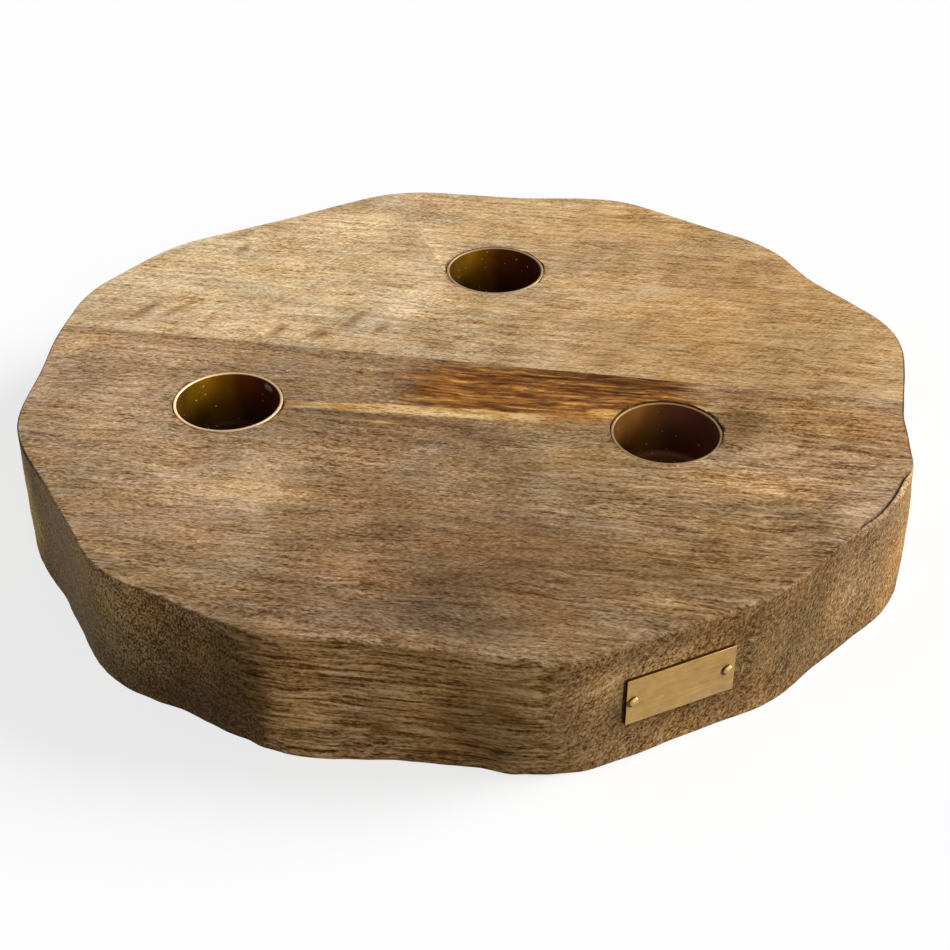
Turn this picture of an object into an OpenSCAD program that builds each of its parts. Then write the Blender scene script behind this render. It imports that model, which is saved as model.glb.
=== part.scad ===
// Candle board: two planks glued edge to edge and hewn to a rough round, three drop-in brass cups
// for dinner candles, and a bare brass plate pinned to the front right face.
// Millimetres. X runs along the grain, Z is up, and the origin is under the middle of the board.

/* [Board] */
// Mean diameter of the board, between its hewn corners and its hollows
board_d = 195; // [185:1:220]
// Thickness of the board
board_t = 28; // [22:0.5:40]
// Distance of the glue line behind the middle of the board
seam_y = 6.5; // [2:0.5:20]
// Depth of the hewing: how far a full corner stands out from the mean circle, or a hollow lies in
hew_depth = 5; // [3:0.5:7]
// Length of face that each hewn corner is eased over, on either side of it
corner_ease = 8; // [3:0.5:10]
// Width of the sanded flat along the upper and lower edges
arris = 1; // [0.5:0.1:1.5]

/* [Cups] */
// Inside diameter of a cup, for a candle of 22 mm
cup_inner_d = 23; // [20:0.5:26]
// Depth of a cup from its rim to its floor
cup_depth = 13.5; // [10:0.5:17]
// Sheet thickness of a cup's wall
cup_wall = 0.7; // [0.5:0.1:1.2]
// Sheet thickness of a cup's floor
cup_floor = 0.7; // [0.5:0.1:1.5]
// Inside radius where a cup's wall turns into its floor
cup_bend = 1.5; // [0.5:0.1:3]
// Free space around a cup in its drilled socket
cup_clearance = 0.3; // [0.2:0.05:0.5]

/* [Cup places] */
// Left cup, along the grain
left_cup_x = -50.6; // [-58:0.1:-44]
// Left cup, across the grain
left_cup_y = -19.3; // [-40:0.1:-15]
// Height of the left cup's rim over the board
left_cup_proud = 0.2; // [-0.5:0.1:1]
// Back cup, along the grain
back_cup_x = -2.1; // [-20:0.1:20]
// Back cup, across the grain
back_cup_y = 51.4; // [42:0.1:60]
// Height of the back cup's rim over the board
back_cup_proud = 0; // [-0.5:0.1:1]
// Right cup, along the grain
right_cup_x = 46.6; // [40:0.1:55]
// Right cup, across the grain
right_cup_y = -14.2; // [-40:0.1:-14]
// Height of the right cup's rim over the board, below it where negative
right_cup_proud = -0.3; // [-0.5:0.1:1]

/* [Plate] */
// Length of the plate along its face
plate_l = 24; // [18:0.5:26]
// Height of the plate
plate_h = 11; // [8:0.5:14]
// Sheet thickness of the plate
plate_t = 0.8; // [0.5:0.1:1.2]
// Height of the plate's middle over the underside
plate_z = 14.2; // [10:0.1:15]
// Distance of the plate's middle from the middle of its face
plate_shift = 1.7; // [-2:0.1:2]

/* [Pins] */
// Distance of a pin from its end of the plate
pin_inset = 1.6; // [1.4:0.1:4]
// Diameter of a pin's domed head
pin_head_d = 2.2; // [1.8:0.1:2.8]
// Height of a pin's domed head
pin_head_h = 0.7; // [0.4:0.1:0.9]
// Diameter of a pin's shank
pin_shank_d = 1.2; // [0.8:0.1:1.5]
// Length of a pin under its head
pin_l = 8; // [5:0.5:12]
// Free space around a pin's shank and under its tip
pin_clearance = 0.05; // [0.02:0.01:0.1]

/* [Hidden] */

$fn = 96;
// Extra length that makes a cut run clear of the face that it opens
over = 1;

// Angle of the corner where the face with the plate starts
plate_corner = 290;
// Hewn corners, counterclockwise from the right: angle, and share of the hewing depth that it stands out
hewn = [
    [2, 0.1], [19, 1.3], [27, 0.9], [40, -0.1], [50, 0.6], [62, -0.1],
    [74, 0.3], [80, 0], [92, -1], [107, -0.2], [114, -0.1], [133, -1],
    [150, 0.4], [167, 0.9], [180, 0.3], [188, 0], [199, 0.6], [206, 0.5],
    [218, -0.1], [234, 0.8], [253, 0.3], [258, 0.1], [plate_corner, 0.6], [318, 0.3],
    [332, 0], [339, 0.6], [349, 0.7], [355, 0.4]
];
// Straight pieces that draw one eased corner
ease_steps = 5;
// Largest share of a face that one eased corner may take
ease_share = 0.45;

function unit(v) = v / norm(v);

function hewn_corner(i) =
    let (c = hewn[i % len(hewn)], r = board_d / 2 + c[1] * hew_depth)
    [r * cos(c[0]), r * sin(c[0])];

// Point on the line from one corner to the next where the easing starts
function ease_end(corner, next) =
    corner + unit(next - corner) * min(corner_ease, norm(next - corner) * ease_share);

function eased_corner(i) =
    let (
        corner = hewn_corner(i),
        start = ease_end(corner, hewn_corner(i + len(hewn) - 1)),
        end = ease_end(corner, hewn_corner(i + 1))
    )
    [for (k = [0 : ease_steps])
        let (t = k / ease_steps)
        (1 - t) * (1 - t) * start + 2 * t * (1 - t) * corner + t * t * end];

hewn_line = [for (i = [0 : len(hewn) - 1]) each eased_corner(i)];
line_x = [for (p = hewn_line) p.x];
line_y = [for (p = hewn_line) p.y];
line_middle = [max(line_x) + min(line_x), max(line_y) + min(line_y)] / 2;
outline = [for (p = hewn_line) p - line_middle];

// Outline point i moved square to the wall, inwards where the distance is positive
function inset_point(i, distance) =
    let (
        n = len(outline),
        before = unit(outline[i] - outline[(i + n - 1) % n]),
        after = unit(outline[(i + 1) % n] - outline[i]),
        inward = unit([-before.y - after.y, before.x + after.x])
    )
    outline[i] + inward * distance;

// Face that carries the plate
plate_face = search(plate_corner, hewn)[0];
face_start = hewn_corner(plate_face) - line_middle;
face_end = hewn_corner(plate_face + 1) - line_middle;
face_along = unit(face_end - face_start);
face_turn = atan2(face_along.y, face_along.x);
face_middle = (face_start + face_end) / 2 + face_along * plate_shift;

left_cup_at = [left_cup_x, left_cup_y, board_t + left_cup_proud];
back_cup_at = [back_cup_x, back_cup_y, board_t + back_cup_proud];
right_cup_at = [right_cup_x, right_cup_y, board_t + right_cup_proud];
cup_r = cup_inner_d / 2 + cup_wall;
cup_h = cup_depth + cup_floor;
pin_place = plate_l / 2 - pin_inset;

// Ring that cuts the sanded flat along one edge: rise is 1 for the upper edge, -1 for the lower one
module arris_ring(edge_z, rise) {
    n = len(outline);
    sides = [
        [arris + over, edge_z + rise * over],
        [-over, edge_z - rise * (arris + over)],
        [-over, edge_z + rise * over]
    ];
    points = [for (i = [0 : n - 1]) for (s = sides) concat(inset_point(i, s[0]), s[1])];
    quads = [for (i = [0 : n - 1]) for (s = [0 : 2])
        [i * 3 + s, i * 3 + (s + 1) % 3, (i + 1) % n * 3 + (s + 1) % 3, (i + 1) % n * 3 + s]];
    turned = [for (q = quads) rise > 0 ? q : [q[3], q[2], q[1], q[0]]];
    faces = [for (q = turned) each [[q[0], q[1], q[2]], [q[0], q[2], q[3]]]];
    polyhedron(points, faces);
}

// Whole hewn board before it is parted along the glue line and drilled
module hewn_board() {
    difference() {
        linear_extrude(board_t) polygon(outline);
        arris_ring(board_t, 1);
        arris_ring(0, -1);
    }
}

// One side of the glue line: side is -1 for the front, 1 for the back
module plank(side) {
    reach = board_d;
    intersection() {
        hewn_board();
        translate([-reach, side > 0 ? seam_y : seam_y - reach, -over])
            cube([2 * reach, reach, board_t + 2 * over]);
    }
}

// Drilled socket under a cup's rim
module socket(rim) {
    translate([rim.x, rim.y, rim.z - cup_h])
        cylinder(h = cup_h + over, r = cup_r + cup_clearance);
}

// Half section of a cup-shaped solid with a rounded lower corner
module foot_section(w, h, bend) {
    square([w - bend, h]);
    translate([0, bend]) square([w, h - bend]);
    translate([w - bend, bend]) circle(bend);
}

module drawn_cup(rim) {
    translate([rim.x, rim.y, rim.z - cup_h])
        rotate_extrude()
            difference() {
                foot_section(cup_r, cup_h, cup_bend + cup_wall);
                translate([0, cup_floor]) foot_section(cup_inner_d / 2, cup_depth + over, cup_bend);
            }
}

// Plate's own frame: X along its face, Y up, Z out of the wood
module on_plate_face() {
    translate([face_middle.x, face_middle.y, plate_z])
        rotate([90, 0, face_turn])
            children();
}

// Hole for a pin's shank, from the given height down to just past its tip
module pin_hole(place, top) {
    on_plate_face()
        translate([place, 0, plate_t - pin_l - pin_clearance])
            cylinder(h = top + pin_l - plate_t + pin_clearance, d = pin_shank_d + 2 * pin_clearance);
}

module domed_pin(place) {
    dome_r = (pin_head_h * pin_head_h + pin_head_d * pin_head_d / 4) / (2 * pin_head_h);
    on_plate_face()
        translate([place, 0, plate_t])
            rotate_extrude()
                union() {
                    translate([0, -pin_l]) square([pin_shank_d / 2, pin_l]);
                    intersection() {
                        translate([0, pin_head_h - dome_r]) circle(dome_r);
                        square([pin_head_d / 2, pin_head_h]);
                    }
                }
}

module front_plank() {
    color([0.50, 0.37, 0.23])
        difference() {
            plank(-1);
            socket(left_cup_at);
            socket(right_cup_at);
            pin_hole(-pin_place, over);
            pin_hole(pin_place, over);
        }
}

module back_plank() {
    color([0.70, 0.56, 0.36])
        difference() {
            plank(1);
            socket(back_cup_at);
        }
}

module left_cup() {
    color([0.62, 0.47, 0.22]) drawn_cup(left_cup_at);
}

module back_cup() {
    color([0.62, 0.47, 0.22]) drawn_cup(back_cup_at);
}

module right_cup() {
    color([0.62, 0.47, 0.22]) drawn_cup(right_cup_at);
}

module name_plate() {
    color([0.72, 0.56, 0.30])
        difference() {
            on_plate_face()
                translate([-plate_l / 2, -plate_h / 2, 0])
                    cube([plate_l, plate_h, plate_t]);
            pin_hole(-pin_place, plate_t + over);
            pin_hole(pin_place, plate_t + over);
        }
}

module left_pin() {
    color([0.80, 0.64, 0.34]) domed_pin(-pin_place);
}

module right_pin() {
    color([0.80, 0.64, 0.34]) domed_pin(pin_place);
}

front_plank();
back_plank();
left_cup();
back_cup();
right_cup();
name_plate();
left_pin();
right_pin();
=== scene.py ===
"""Looks of the wooden candle board: two hewn planks, three drop-in brass cups and a bare pinned plate."""

import logging
import math
from dataclasses import dataclass, field, replace
from enum import Enum
from typing import Dict, List, Optional, Sequence, Set, Tuple, Union

import bmesh
import bpy
from mathutils import Matrix, Vector, noise


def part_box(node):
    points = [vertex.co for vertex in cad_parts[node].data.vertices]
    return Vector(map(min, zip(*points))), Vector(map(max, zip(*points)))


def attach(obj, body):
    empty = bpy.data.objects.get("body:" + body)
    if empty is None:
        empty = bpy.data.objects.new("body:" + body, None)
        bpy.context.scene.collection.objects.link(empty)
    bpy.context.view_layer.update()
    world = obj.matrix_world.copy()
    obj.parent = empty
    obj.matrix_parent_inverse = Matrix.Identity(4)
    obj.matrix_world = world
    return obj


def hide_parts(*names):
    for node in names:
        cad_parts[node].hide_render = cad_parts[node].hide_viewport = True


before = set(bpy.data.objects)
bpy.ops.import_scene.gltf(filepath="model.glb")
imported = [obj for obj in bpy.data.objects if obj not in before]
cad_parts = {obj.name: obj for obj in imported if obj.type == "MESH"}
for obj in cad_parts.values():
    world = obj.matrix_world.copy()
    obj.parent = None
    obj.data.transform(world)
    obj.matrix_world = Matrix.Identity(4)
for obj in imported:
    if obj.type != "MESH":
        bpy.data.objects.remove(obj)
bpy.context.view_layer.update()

MM = 0.001
log = logging.getLogger("candle_board")

Colour = Tuple[float, float, float]
Place = Tuple[float, float, float]
Pair = Tuple[float, float]
Stops = Tuple[Tuple[float, Colour], ...]
Table = Tuple[Pair, ...]
Socket = bpy.types.NodeSocket
Feed = Union[Socket, float, Sequence[float]]

ORIGIN = (0.0, 0.0, 0.0)
HALF = (0.5, 0.5, 0.5)
WHITE = (1.0, 1.0, 1.0)
MERGE = 0.001 * MM
RANK_TIE = 1e-6


class PlankSide(Enum):
    """The two planks on either side of the glue line, by CAD node."""

    FRONT = "front_plank"
    BACK = "back_plank"


class CupPlace(Enum):
    """The three cups, by CAD node."""

    LEFT = "left_cup"
    BACK = "back_cup"
    RIGHT = "right_cup"

    @property
    def body(self) -> str:
        """Name of the body that the cup is."""
        return f"cup_{self.value.split('_')[0]}"


class PinPlace(Enum):
    """The two plate pins, by CAD node."""

    LEFT = "left_pin"
    RIGHT = "right_pin"


def smooth(low: float, high: float, value: float) -> float:
    """Returns 0 below low, 1 above high and an eased value between them; low may be the greater."""
    share = min(1.0, max(0.0, (value - low) / (high - low)))
    return share * share * (3 - 2 * share)


def box_middle(node: str) -> Vector:
    """Returns the middle of a CAD node's box, in metres."""
    low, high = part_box(node)
    return (Vector(low) + Vector(high)) / 2


def merged_copy(node: str) -> bmesh.types.BMesh:
    """Copies a CAD node's mesh with its loose triangles merged into whole faces.

    Args:
        node: Name of the CAD node.

    Returns:
        The copy as a bmesh.
    """
    bm = bmesh.new()
    bm.from_mesh(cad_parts[node].data)
    bmesh.ops.remove_doubles(bm, verts=bm.verts, dist=MERGE)
    bmesh.ops.dissolve_limit(bm, angle_limit=math.radians(0.05), verts=bm.verts, edges=bm.edges)
    bm.normal_update()
    return bm


def make_piece(bm: bmesh.types.BMesh, name: str, sharp_degrees: float = 40) -> bpy.types.Object:
    """Turns a finished bmesh into an object at the origin.

    Args:
        bm: The mesh in the board's frame, freed here.
        name: Name of the piece.
        sharp_degrees: Angle past which an edge stays crisp.

    Returns:
        The new object, linked to the scene.
    """
    mesh = bpy.data.meshes.new(name)
    bm.to_mesh(mesh)
    bm.free()
    mesh.set_sharp_from_angle(angle=math.radians(sharp_degrees))
    piece = bpy.data.objects.new(name, mesh)
    bpy.context.scene.collection.objects.link(piece)
    return piece


def draw_section(bm: bmesh.types.BMesh, section: Sequence[Pair]) -> List[bmesh.types.BMVert]:
    """Draws half the section of a round piece.

    Args:
        bm: The mesh that the line goes in.
        section: Distance from the axis and height of each corner, from axis to axis.

    Returns:
        The corners.
    """
    line = [bm.verts.new((out, 0.0, up)) for out, up in section]
    for ends in zip(line, line[1:]):
        bm.edges.new(ends)
    return line


def bevel(
    bm: bmesh.types.BMesh, parts: Sequence[object], size: float, segments: int, affect: str = "EDGES",
    clamp: bool = False,
) -> List[bmesh.types.BMVert]:
    """Rounds edges, or the corners of a section.

    Args:
        bm: The mesh.
        parts: The edges or corners.
        size: Offset of the round.
        segments: Pieces that draw it.
        affect: EDGES or VERTICES.
        clamp: Whether the round stops short of the next edge.

    Returns:
        The corners of the round.
    """
    made = bmesh.ops.bevel(
        bm, geom=list(parts), offset=size, offset_type="OFFSET", affect=affect, segments=segments, profile=0.5,
        material=-1, clamp_overlap=clamp)
    return made["verts"]


def face_rank(face: bmesh.types.BMFace) -> float:
    """Ranks a face by its last vertex, then by their sum, because a spin makes its faces in no fixed order."""
    places = [vert.index for vert in face.verts]
    return max(places) + sum(places) * RANK_TIE


def spin_section(bm: bmesh.types.BMesh, steps: int) -> None:
    """Spins a drawn section around the upright axis into a closed, smooth shell.

    Args:
        bm: The mesh that holds the section alone.
        steps: Faces around the axis.
    """
    bmesh.ops.spin(
        bm, geom=[*bm.verts, *bm.edges], cent=ORIGIN, axis=(0, 0, 1), angle=math.tau, steps=steps, use_merge=True)
    bmesh.ops.remove_doubles(bm, verts=bm.verts, dist=MERGE)
    bmesh.ops.recalc_face_normals(bm, faces=bm.faces)
    bm.verts.index_update()
    bm.faces.sort(key=face_rank)
    for face in bm.faces:
        face.smooth = True


def dress(piece: bpy.types.Object, material: bpy.types.Material, node: str, body: str) -> bpy.types.Object:
    """Gives a piece its finish and sets it on its body in the place of its node.

    Args:
        piece: The piece.
        material: Its finish.
        node: CAD node that it replaces.
        body: Body that it rides on.

    Returns:
        The piece.
    """
    piece.data.materials.append(material)
    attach(piece, body)
    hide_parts(node)
    return piece


class NodeWriter:
    """Adds shader nodes to one tree and joins them."""

    def __init__(self, tree: bpy.types.NodeTree) -> None:
        """Keeps the tree that the nodes go in."""
        self.tree = tree

    def feed(self, socket: Socket, value: Feed) -> None:
        """Joins a socket to another, or sets its plain value.

        Args:
            socket: The input to fill.
            value: An output to join, or a number, vector or colour.
        """
        if isinstance(value, bpy.types.NodeSocket):
            self.tree.links.new(value, socket)
        elif socket.type == "RGBA" and len(value) == 3:
            socket.default_value = (*value, 1.0)
        else:
            socket.default_value = value

    def node(self, kind: str, inputs: Optional[Dict[str, Feed]] = None, **settings: object) -> bpy.types.Node:
        """Adds one node.

        Args:
            kind: Blender's name of the node type.
            inputs: Values by the input's identifier.
            **settings: Properties of the node.

        Returns:
            The new node.
        """
        made = self.tree.nodes.new(kind)
        for key, value in settings.items():
            setattr(made, key, value)
        sockets = {s.identifier: s for s in made.inputs}
        sockets.update({s.name: s for s in reversed(made.inputs) if s.name not in sockets})
        for key, value in (inputs or {}).items():
            self.feed(sockets[key], value)
        return made

    def math(self, operation: str, a: Feed, b: Feed = 0.0, clamp: bool = False) -> Socket:
        """Does sums with one or two numbers.

        Args:
            operation: Blender's name of the operation.
            a: The first number.
            b: The second number, where the operation has one.
            clamp: Whether the result is kept from 0 to 1.

        Returns:
            The result.
        """
        made = self.node("ShaderNodeMath", operation=operation, use_clamp=clamp)
        self.feed(made.inputs[0], a)
        self.feed(made.inputs[1], b)
        return made.outputs[0]

    def vector(self, operation: str, a: Feed, b: Feed = ORIGIN) -> Socket:
        """Does sums with one or two vectors.

        Args:
            operation: Blender's name of the operation.
            a: The first vector.
            b: The second vector, or the number that SCALE multiplies by.

        Returns:
            The result, a number for a length or a dot product.
        """
        made = self.node("ShaderNodeVectorMath", operation=operation)
        self.feed(made.inputs[0], a)
        self.feed(made.inputs["Scale"] if operation == "SCALE" else made.inputs[1], b)
        return made.outputs["Value" if operation in ("LENGTH", "DOT_PRODUCT") else "Vector"]

    def blend(self, share: Feed, a: Feed, b: Feed) -> Socket:
        """Returns a number that goes from one to another by a share."""
        return self.math("ADD", a, self.math("MULTIPLY", share, self.math("SUBTRACT", b, a)))

    def split(self, vector: Socket) -> Tuple[Socket, Socket, Socket]:
        """Returns the three parts of a vector."""
        made = self.node("ShaderNodeSeparateXYZ", {"Vector": vector})
        return made.outputs[0], made.outputs[1], made.outputs[2]

    def join(self, x: Feed, y: Feed, z: Feed) -> Socket:
        """Returns a vector made of three parts."""
        return self.node("ShaderNodeCombineXYZ", {"X": x, "Y": y, "Z": z}).outputs[0]

    def ease(self, value: Feed, low: Feed, high: Feed, to_low: Feed = 0.0, to_high: Feed = 1.0) -> Socket:
        """Returns a value eased from one range to another.

        Args:
            value: The value to map.
            low: Value that maps to to_low.
            high: Value that maps to to_high.
            to_low: Result at low and before it.
            to_high: Result at high and past it.

        Returns:
            The mapped value.
        """
        inputs = {"Value": value, "From Min": low, "From Max": high, "To Min": to_low, "To Max": to_high}
        made = self.node("ShaderNodeMapRange", interpolation_type="SMOOTHSTEP", clamp=False)
        for key, number in inputs.items():
            self.feed(made.inputs[key], number)
        return made.outputs[0]

    def noise(self, vector: Socket, detail: float = 2.0, roughness: float = 0.5, colour: bool = False) -> Socket:
        """Makes cloudy noise of about one unit.

        Args:
            vector: Place in the noise.
            detail: Octaves of finer noise.
            roughness: How far the finer noise shows.
            colour: Whether three kinds of noise are wanted, as a colour.

        Returns:
            The noise, around a half.
        """
        made = self.node(
            "ShaderNodeTexNoise", {"Vector": vector, "Scale": 1.0, "Detail": detail, "Roughness": roughness}
        )
        return made.outputs["Color" if colour else "Fac"]

    def stretched(self, vector: Socket, sizes: Sequence[float]) -> Socket:
        """Returns a vector divided by a size along each axis."""
        return self.vector("DIVIDE", vector, tuple(sizes))

    def turned(self, vector: Socket, degrees: Place, sizes: Place) -> Socket:
        """Turns and stretches a pattern.

        Args:
            vector: Place in the piece.
            degrees: Turn of the pattern around each axis.
            sizes: Size of the pattern along its own axes.

        Returns:
            Place in the pattern.
        """
        turn = tuple(math.radians(angle) for angle in degrees)
        inputs = {"Vector": vector, "Rotation": turn, "Scale": sizes}
        return self.node("ShaderNodeMapping", inputs, vector_type="TEXTURE").outputs[0]

    def mix(self, share: Feed, a: Feed, b: Feed, blend: str = "MIX") -> Socket:
        """Mixes two colours.

        Args:
            share: How far the second takes effect, from 0 to 1.
            a: The first colour.
            b: The second colour.
            blend: Blender's name of the kind of mix.

        Returns:
            The mixed colour.
        """
        made = self.node(
            "ShaderNodeMix",
            {"Factor_Float": share, "A_Color": a, "B_Color": b},
            data_type="RGBA",
            blend_type=blend,
        )
        return next(s for s in made.outputs if s.identifier == "Result_Color")

    def stain(self, share: Feed, colour: Feed, by: Feed) -> Socket:
        """Returns a colour that another multiplies, as far as a share says."""
        return self.mix(share, colour, by, "MULTIPLY")

    def ramp(self, value: Feed, stops: Sequence[Tuple[float, Colour]]) -> Socket:
        """Returns the colour of a ramp at a value.

        Args:
            value: Place on the ramp.
            stops: Places and colours, in rising order.

        Returns:
            The colour.
        """
        made = self.node("ShaderNodeValToRGB", {"Fac": value})
        ramp = made.color_ramp
        ramp.interpolation = "EASE"
        while len(ramp.elements) < len(stops):
            ramp.elements.new(0.5)
        for element, (place, colour) in zip(ramp.elements, stops):
            element.position = place
            element.color = (*colour, 1.0)
        return made.outputs[0]

    def grey(self, value: Socket) -> Socket:
        """Returns a grey that is as light as a value."""
        return self.join(value, value, value)

    def group(self, tree: bpy.types.NodeTree, inputs: Dict[str, Feed]) -> Socket:
        """Places a node group.

        Args:
            tree: The group.
            inputs: Values by the input's name.

        Returns:
            The group's first output.
        """
        made = self.tree.nodes.new("ShaderNodeGroup")
        made.node_tree = tree
        for key, value in inputs.items():
            self.feed(made.inputs[key], value)
        return made.outputs[0]

    def millimetres(self) -> Socket:
        """Returns the piece's own coordinates in millimetres."""
        place = self.node("ShaderNodeTexCoord").outputs["Object"]
        return self.vector("SCALE", place, 1 / MM)


def blank_nodes(owner: Union[bpy.types.Material, bpy.types.World]) -> NodeWriter:
    """Clears the nodes of a material or a world.

    Args:
        owner: The material or the world.

    Returns:
        A writer for its nodes.
    """
    owner.use_nodes = True
    owner.node_tree.nodes.clear()
    return NodeWriter(owner.node_tree)


class PatternGroup(NodeWriter):
    """A shader node group under construction, with named inputs and one output."""

    KINDS = {float: "NodeSocketFloat", tuple: "NodeSocketVector"}

    def __init__(
        self, name: str, inputs: Dict[str, Union[float, Place]], output: str, vector_out: bool = False
    ) -> None:
        """Makes the group's sockets.

        Args:
            name: Name of the group.
            inputs: Names and first values of the inputs.
            output: Name of the output.
            vector_out: Whether the output is a vector.
        """
        super().__init__(bpy.data.node_groups.new(name, "ShaderNodeTree"))
        for key, value in inputs.items():
            socket = self.tree.interface.new_socket(key, in_out="INPUT", socket_type=self.KINDS[type(value)])
            socket.default_value = value
        kind = "NodeSocketVector" if vector_out else "NodeSocketFloat"
        self.tree.interface.new_socket(output, in_out="OUTPUT", socket_type=kind)
        self.inputs = self.tree.nodes.new("NodeGroupInput").outputs
        self._end = self.tree.nodes.new("NodeGroupOutput")

    def close(self, result: Socket) -> bpy.types.NodeTree:
        """Joins the result to the output and returns the group."""
        self.tree.links.new(result, self._end.inputs[0])
        return self.tree


class Patterns:
    """The patterns that the finishes share, each built once as a node group. Lengths are in millimetres."""

    SWAYS = (((85, 38, 38), 2.0), ((11, 5, 5), 0.9))
    PORE_CROWD = (30, 5, 5)
    BAND_LENGTH = 16.0
    TORN_STRETCH = (5, 5, 5)
    TORN_CHIP = (1.5, 0.8, 0.8)

    def __init__(self) -> None:
        """Builds every group."""
        self.fibre_space = self._fibre_space()
        self.pore_lines = self._pore_lines()
        self.growth_bands = self._growth_bands()
        self.soft_patch = self._soft_patch()
        self.torn_rim = self._torn_rim()
        self.fine_specks = self._fine_specks()
        self.brushed_lines = self._brushed_lines()

    def patch(
        self, w: NodeWriter, place: Socket, centre: Place, size: Place, core: float, turn: float = 0.0,
        square: float = 2.0,
    ) -> Socket:
        """Masks a soft patch.

        Args:
            w: Writer of the material.
            place: Place in the piece.
            centre: Middle of the patch.
            size: Half its length along each axis.
            core: Share of it that is full.
            turn: Its turn around the upright axis, in degrees.
            square: 2 for an ellipse, more for a boxy patch.

        Returns:
            The mask, from 0 to 1.
        """
        turn = math.radians(turn)
        inputs = {"Vector": place, "Centre": centre, "Size": size, "Turn": turn, "Core": core, "Square": square}
        return w.group(self.soft_patch, inputs)

    def _fibre_space(self) -> bpy.types.NodeTree:
        """Bends space so that lines along X lean and sway as wood fibres do.

        Returns:
            The group.
        """
        g = PatternGroup("fibre_space", {"Vector": ORIGIN, "Lean": 0.0, "Sway": 3.0}, "Vector", vector_out=True)
        place = g.inputs["Vector"]
        sways = []
        for sizes, share in self.SWAYS:
            soft = g.noise(g.stretched(place, sizes), detail=1, colour=True)
            reach = g.math("MULTIPLY", g.inputs["Sway"], share)
            sways.append(g.vector("SCALE", g.vector("SUBTRACT", soft, HALF), reach))
        sway = g.vector("MULTIPLY", g.vector("ADD", *sways), (0.0, 1.0, 1.0))
        along = g.split(place)[0]
        lean = g.join(0.0, g.math("MULTIPLY", along, g.math("MULTIPLY", g.inputs["Lean"], -1.0)), 0.0)
        return g.close(g.vector("ADD", g.vector("ADD", place, sway), lean))

    def _pore_lines(self) -> bpy.types.NodeTree:
        """Masks open pores: dashes along the fibre on a long face, dots on an end.

        Returns:
            The group.
        """
        g = PatternGroup("pore_lines", {"Vector": ORIGIN, "Length": 8.0, "Width": 0.9, "Amount": 0.35}, "Mask")
        size = g.join(g.inputs["Length"], g.inputs["Width"], g.inputs["Width"])
        cells = g.node("ShaderNodeTexVoronoi", {"Vector": g.vector("DIVIDE", g.inputs["Vector"], size), "Scale": 1.0})
        crowd = g.noise(g.stretched(g.inputs["Vector"], self.PORE_CROWD), detail=1)
        reach = g.math("MULTIPLY", g.inputs["Amount"], g.ease(crowd, 0.3, 0.7, 0.55, 1.35))
        return g.close(g.ease(g.math("DIVIDE", cells.outputs["Distance"], reach), 1.0, 0.45))

    def _growth_bands(self) -> bpy.types.NodeTree:
        """Gives growth layers around a pith line along X: bands on a long face, arcs on an end.

        Returns:
            The group.
        """
        g = PatternGroup("growth_bands", {"Vector": ORIGIN, "Pith": ORIGIN, "Spacing": 4.0}, "Value")
        offset = g.vector("MULTIPLY", g.vector("SUBTRACT", g.inputs["Vector"], g.inputs["Pith"]), (0.0, 1.0, 1.0))
        radius = g.math("DIVIDE", g.vector("LENGTH", offset), g.inputs["Spacing"])
        along = g.math("DIVIDE", g.split(g.inputs["Vector"])[0], self.BAND_LENGTH)
        return g.close(g.noise(g.join(radius, along, 0.0), detail=2, roughness=0.55))

    def _soft_patch(self) -> bpy.types.NodeTree:
        """Masks one turned ellipse that fades out at its edge.

        It works on single numbers, because a plank has dozens of patches and a vector in each would overfill the
        renderer's stack.

        Returns:
            The group.
        """
        inputs = {"Vector": ORIGIN, "Centre": ORIGIN, "Size": ORIGIN, "Turn": 0.0, "Core": 0.4, "Square": 2.0}
        g = PatternGroup("soft_patch", inputs, "Mask")
        cosine, sine = g.math("COSINE", g.inputs["Turn"]), g.math("SINE", g.inputs["Turn"])
        axes = (g.join(cosine, sine, 0.0), g.join(g.math("MULTIPLY", sine, -1.0), cosine, 0.0), (0.0, 0.0, 1.0))
        parts = []
        for axis, size in zip(axes, g.split(g.inputs["Size"])):
            along, middle = (g.vector("DOT_PRODUCT", g.inputs[name], axis) for name in ("Vector", "Centre"))
            part = g.math("ABSOLUTE", g.math("DIVIDE", g.math("SUBTRACT", along, middle), size))
            parts.append(g.math("POWER", part, g.inputs["Square"]))
        reach = g.math("ADD", g.math("ADD", parts[0], parts[1]), parts[2])
        reach = g.math("POWER", reach, g.math("DIVIDE", 1.0, g.inputs["Square"]))
        return g.close(g.ease(reach, 1.0, g.inputs["Core"]))

    def _torn_rim(self) -> bpy.types.NodeTree:
        """Masks the torn fibres around a drilled hole, most where the drill met end grain.

        Returns:
            The group.
        """
        g = PatternGroup("torn_rim", {"Vector": ORIGIN, "Centre": ORIGIN, "Radius": 12.5}, "Mask")
        offset = g.vector("MULTIPLY", g.vector("SUBTRACT", g.inputs["Vector"], g.inputs["Centre"]), (1.0, 1.0, 0.0))
        past = g.math("SUBTRACT", g.vector("LENGTH", offset), g.inputs["Radius"])
        near = g.ease(past, 1.0, 0.05)
        here = g.ease(g.noise(g.stretched(g.inputs["Vector"], self.TORN_STRETCH), detail=1), 0.4, 0.58)
        ends = g.ease(g.math("ABSOLUTE", g.split(g.vector("NORMALIZE", offset))[0]), 0.3, 0.95, 0.35, 1.0)
        chips = g.noise(g.stretched(g.inputs["Vector"], self.TORN_CHIP), detail=2, roughness=0.6)
        share = g.math("MULTIPLY", g.math("MULTIPLY", near, ends), here)
        return g.close(g.ease(g.math("ADD", g.math("MULTIPLY", share, 0.34), chips), 0.72, 0.86))

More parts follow.
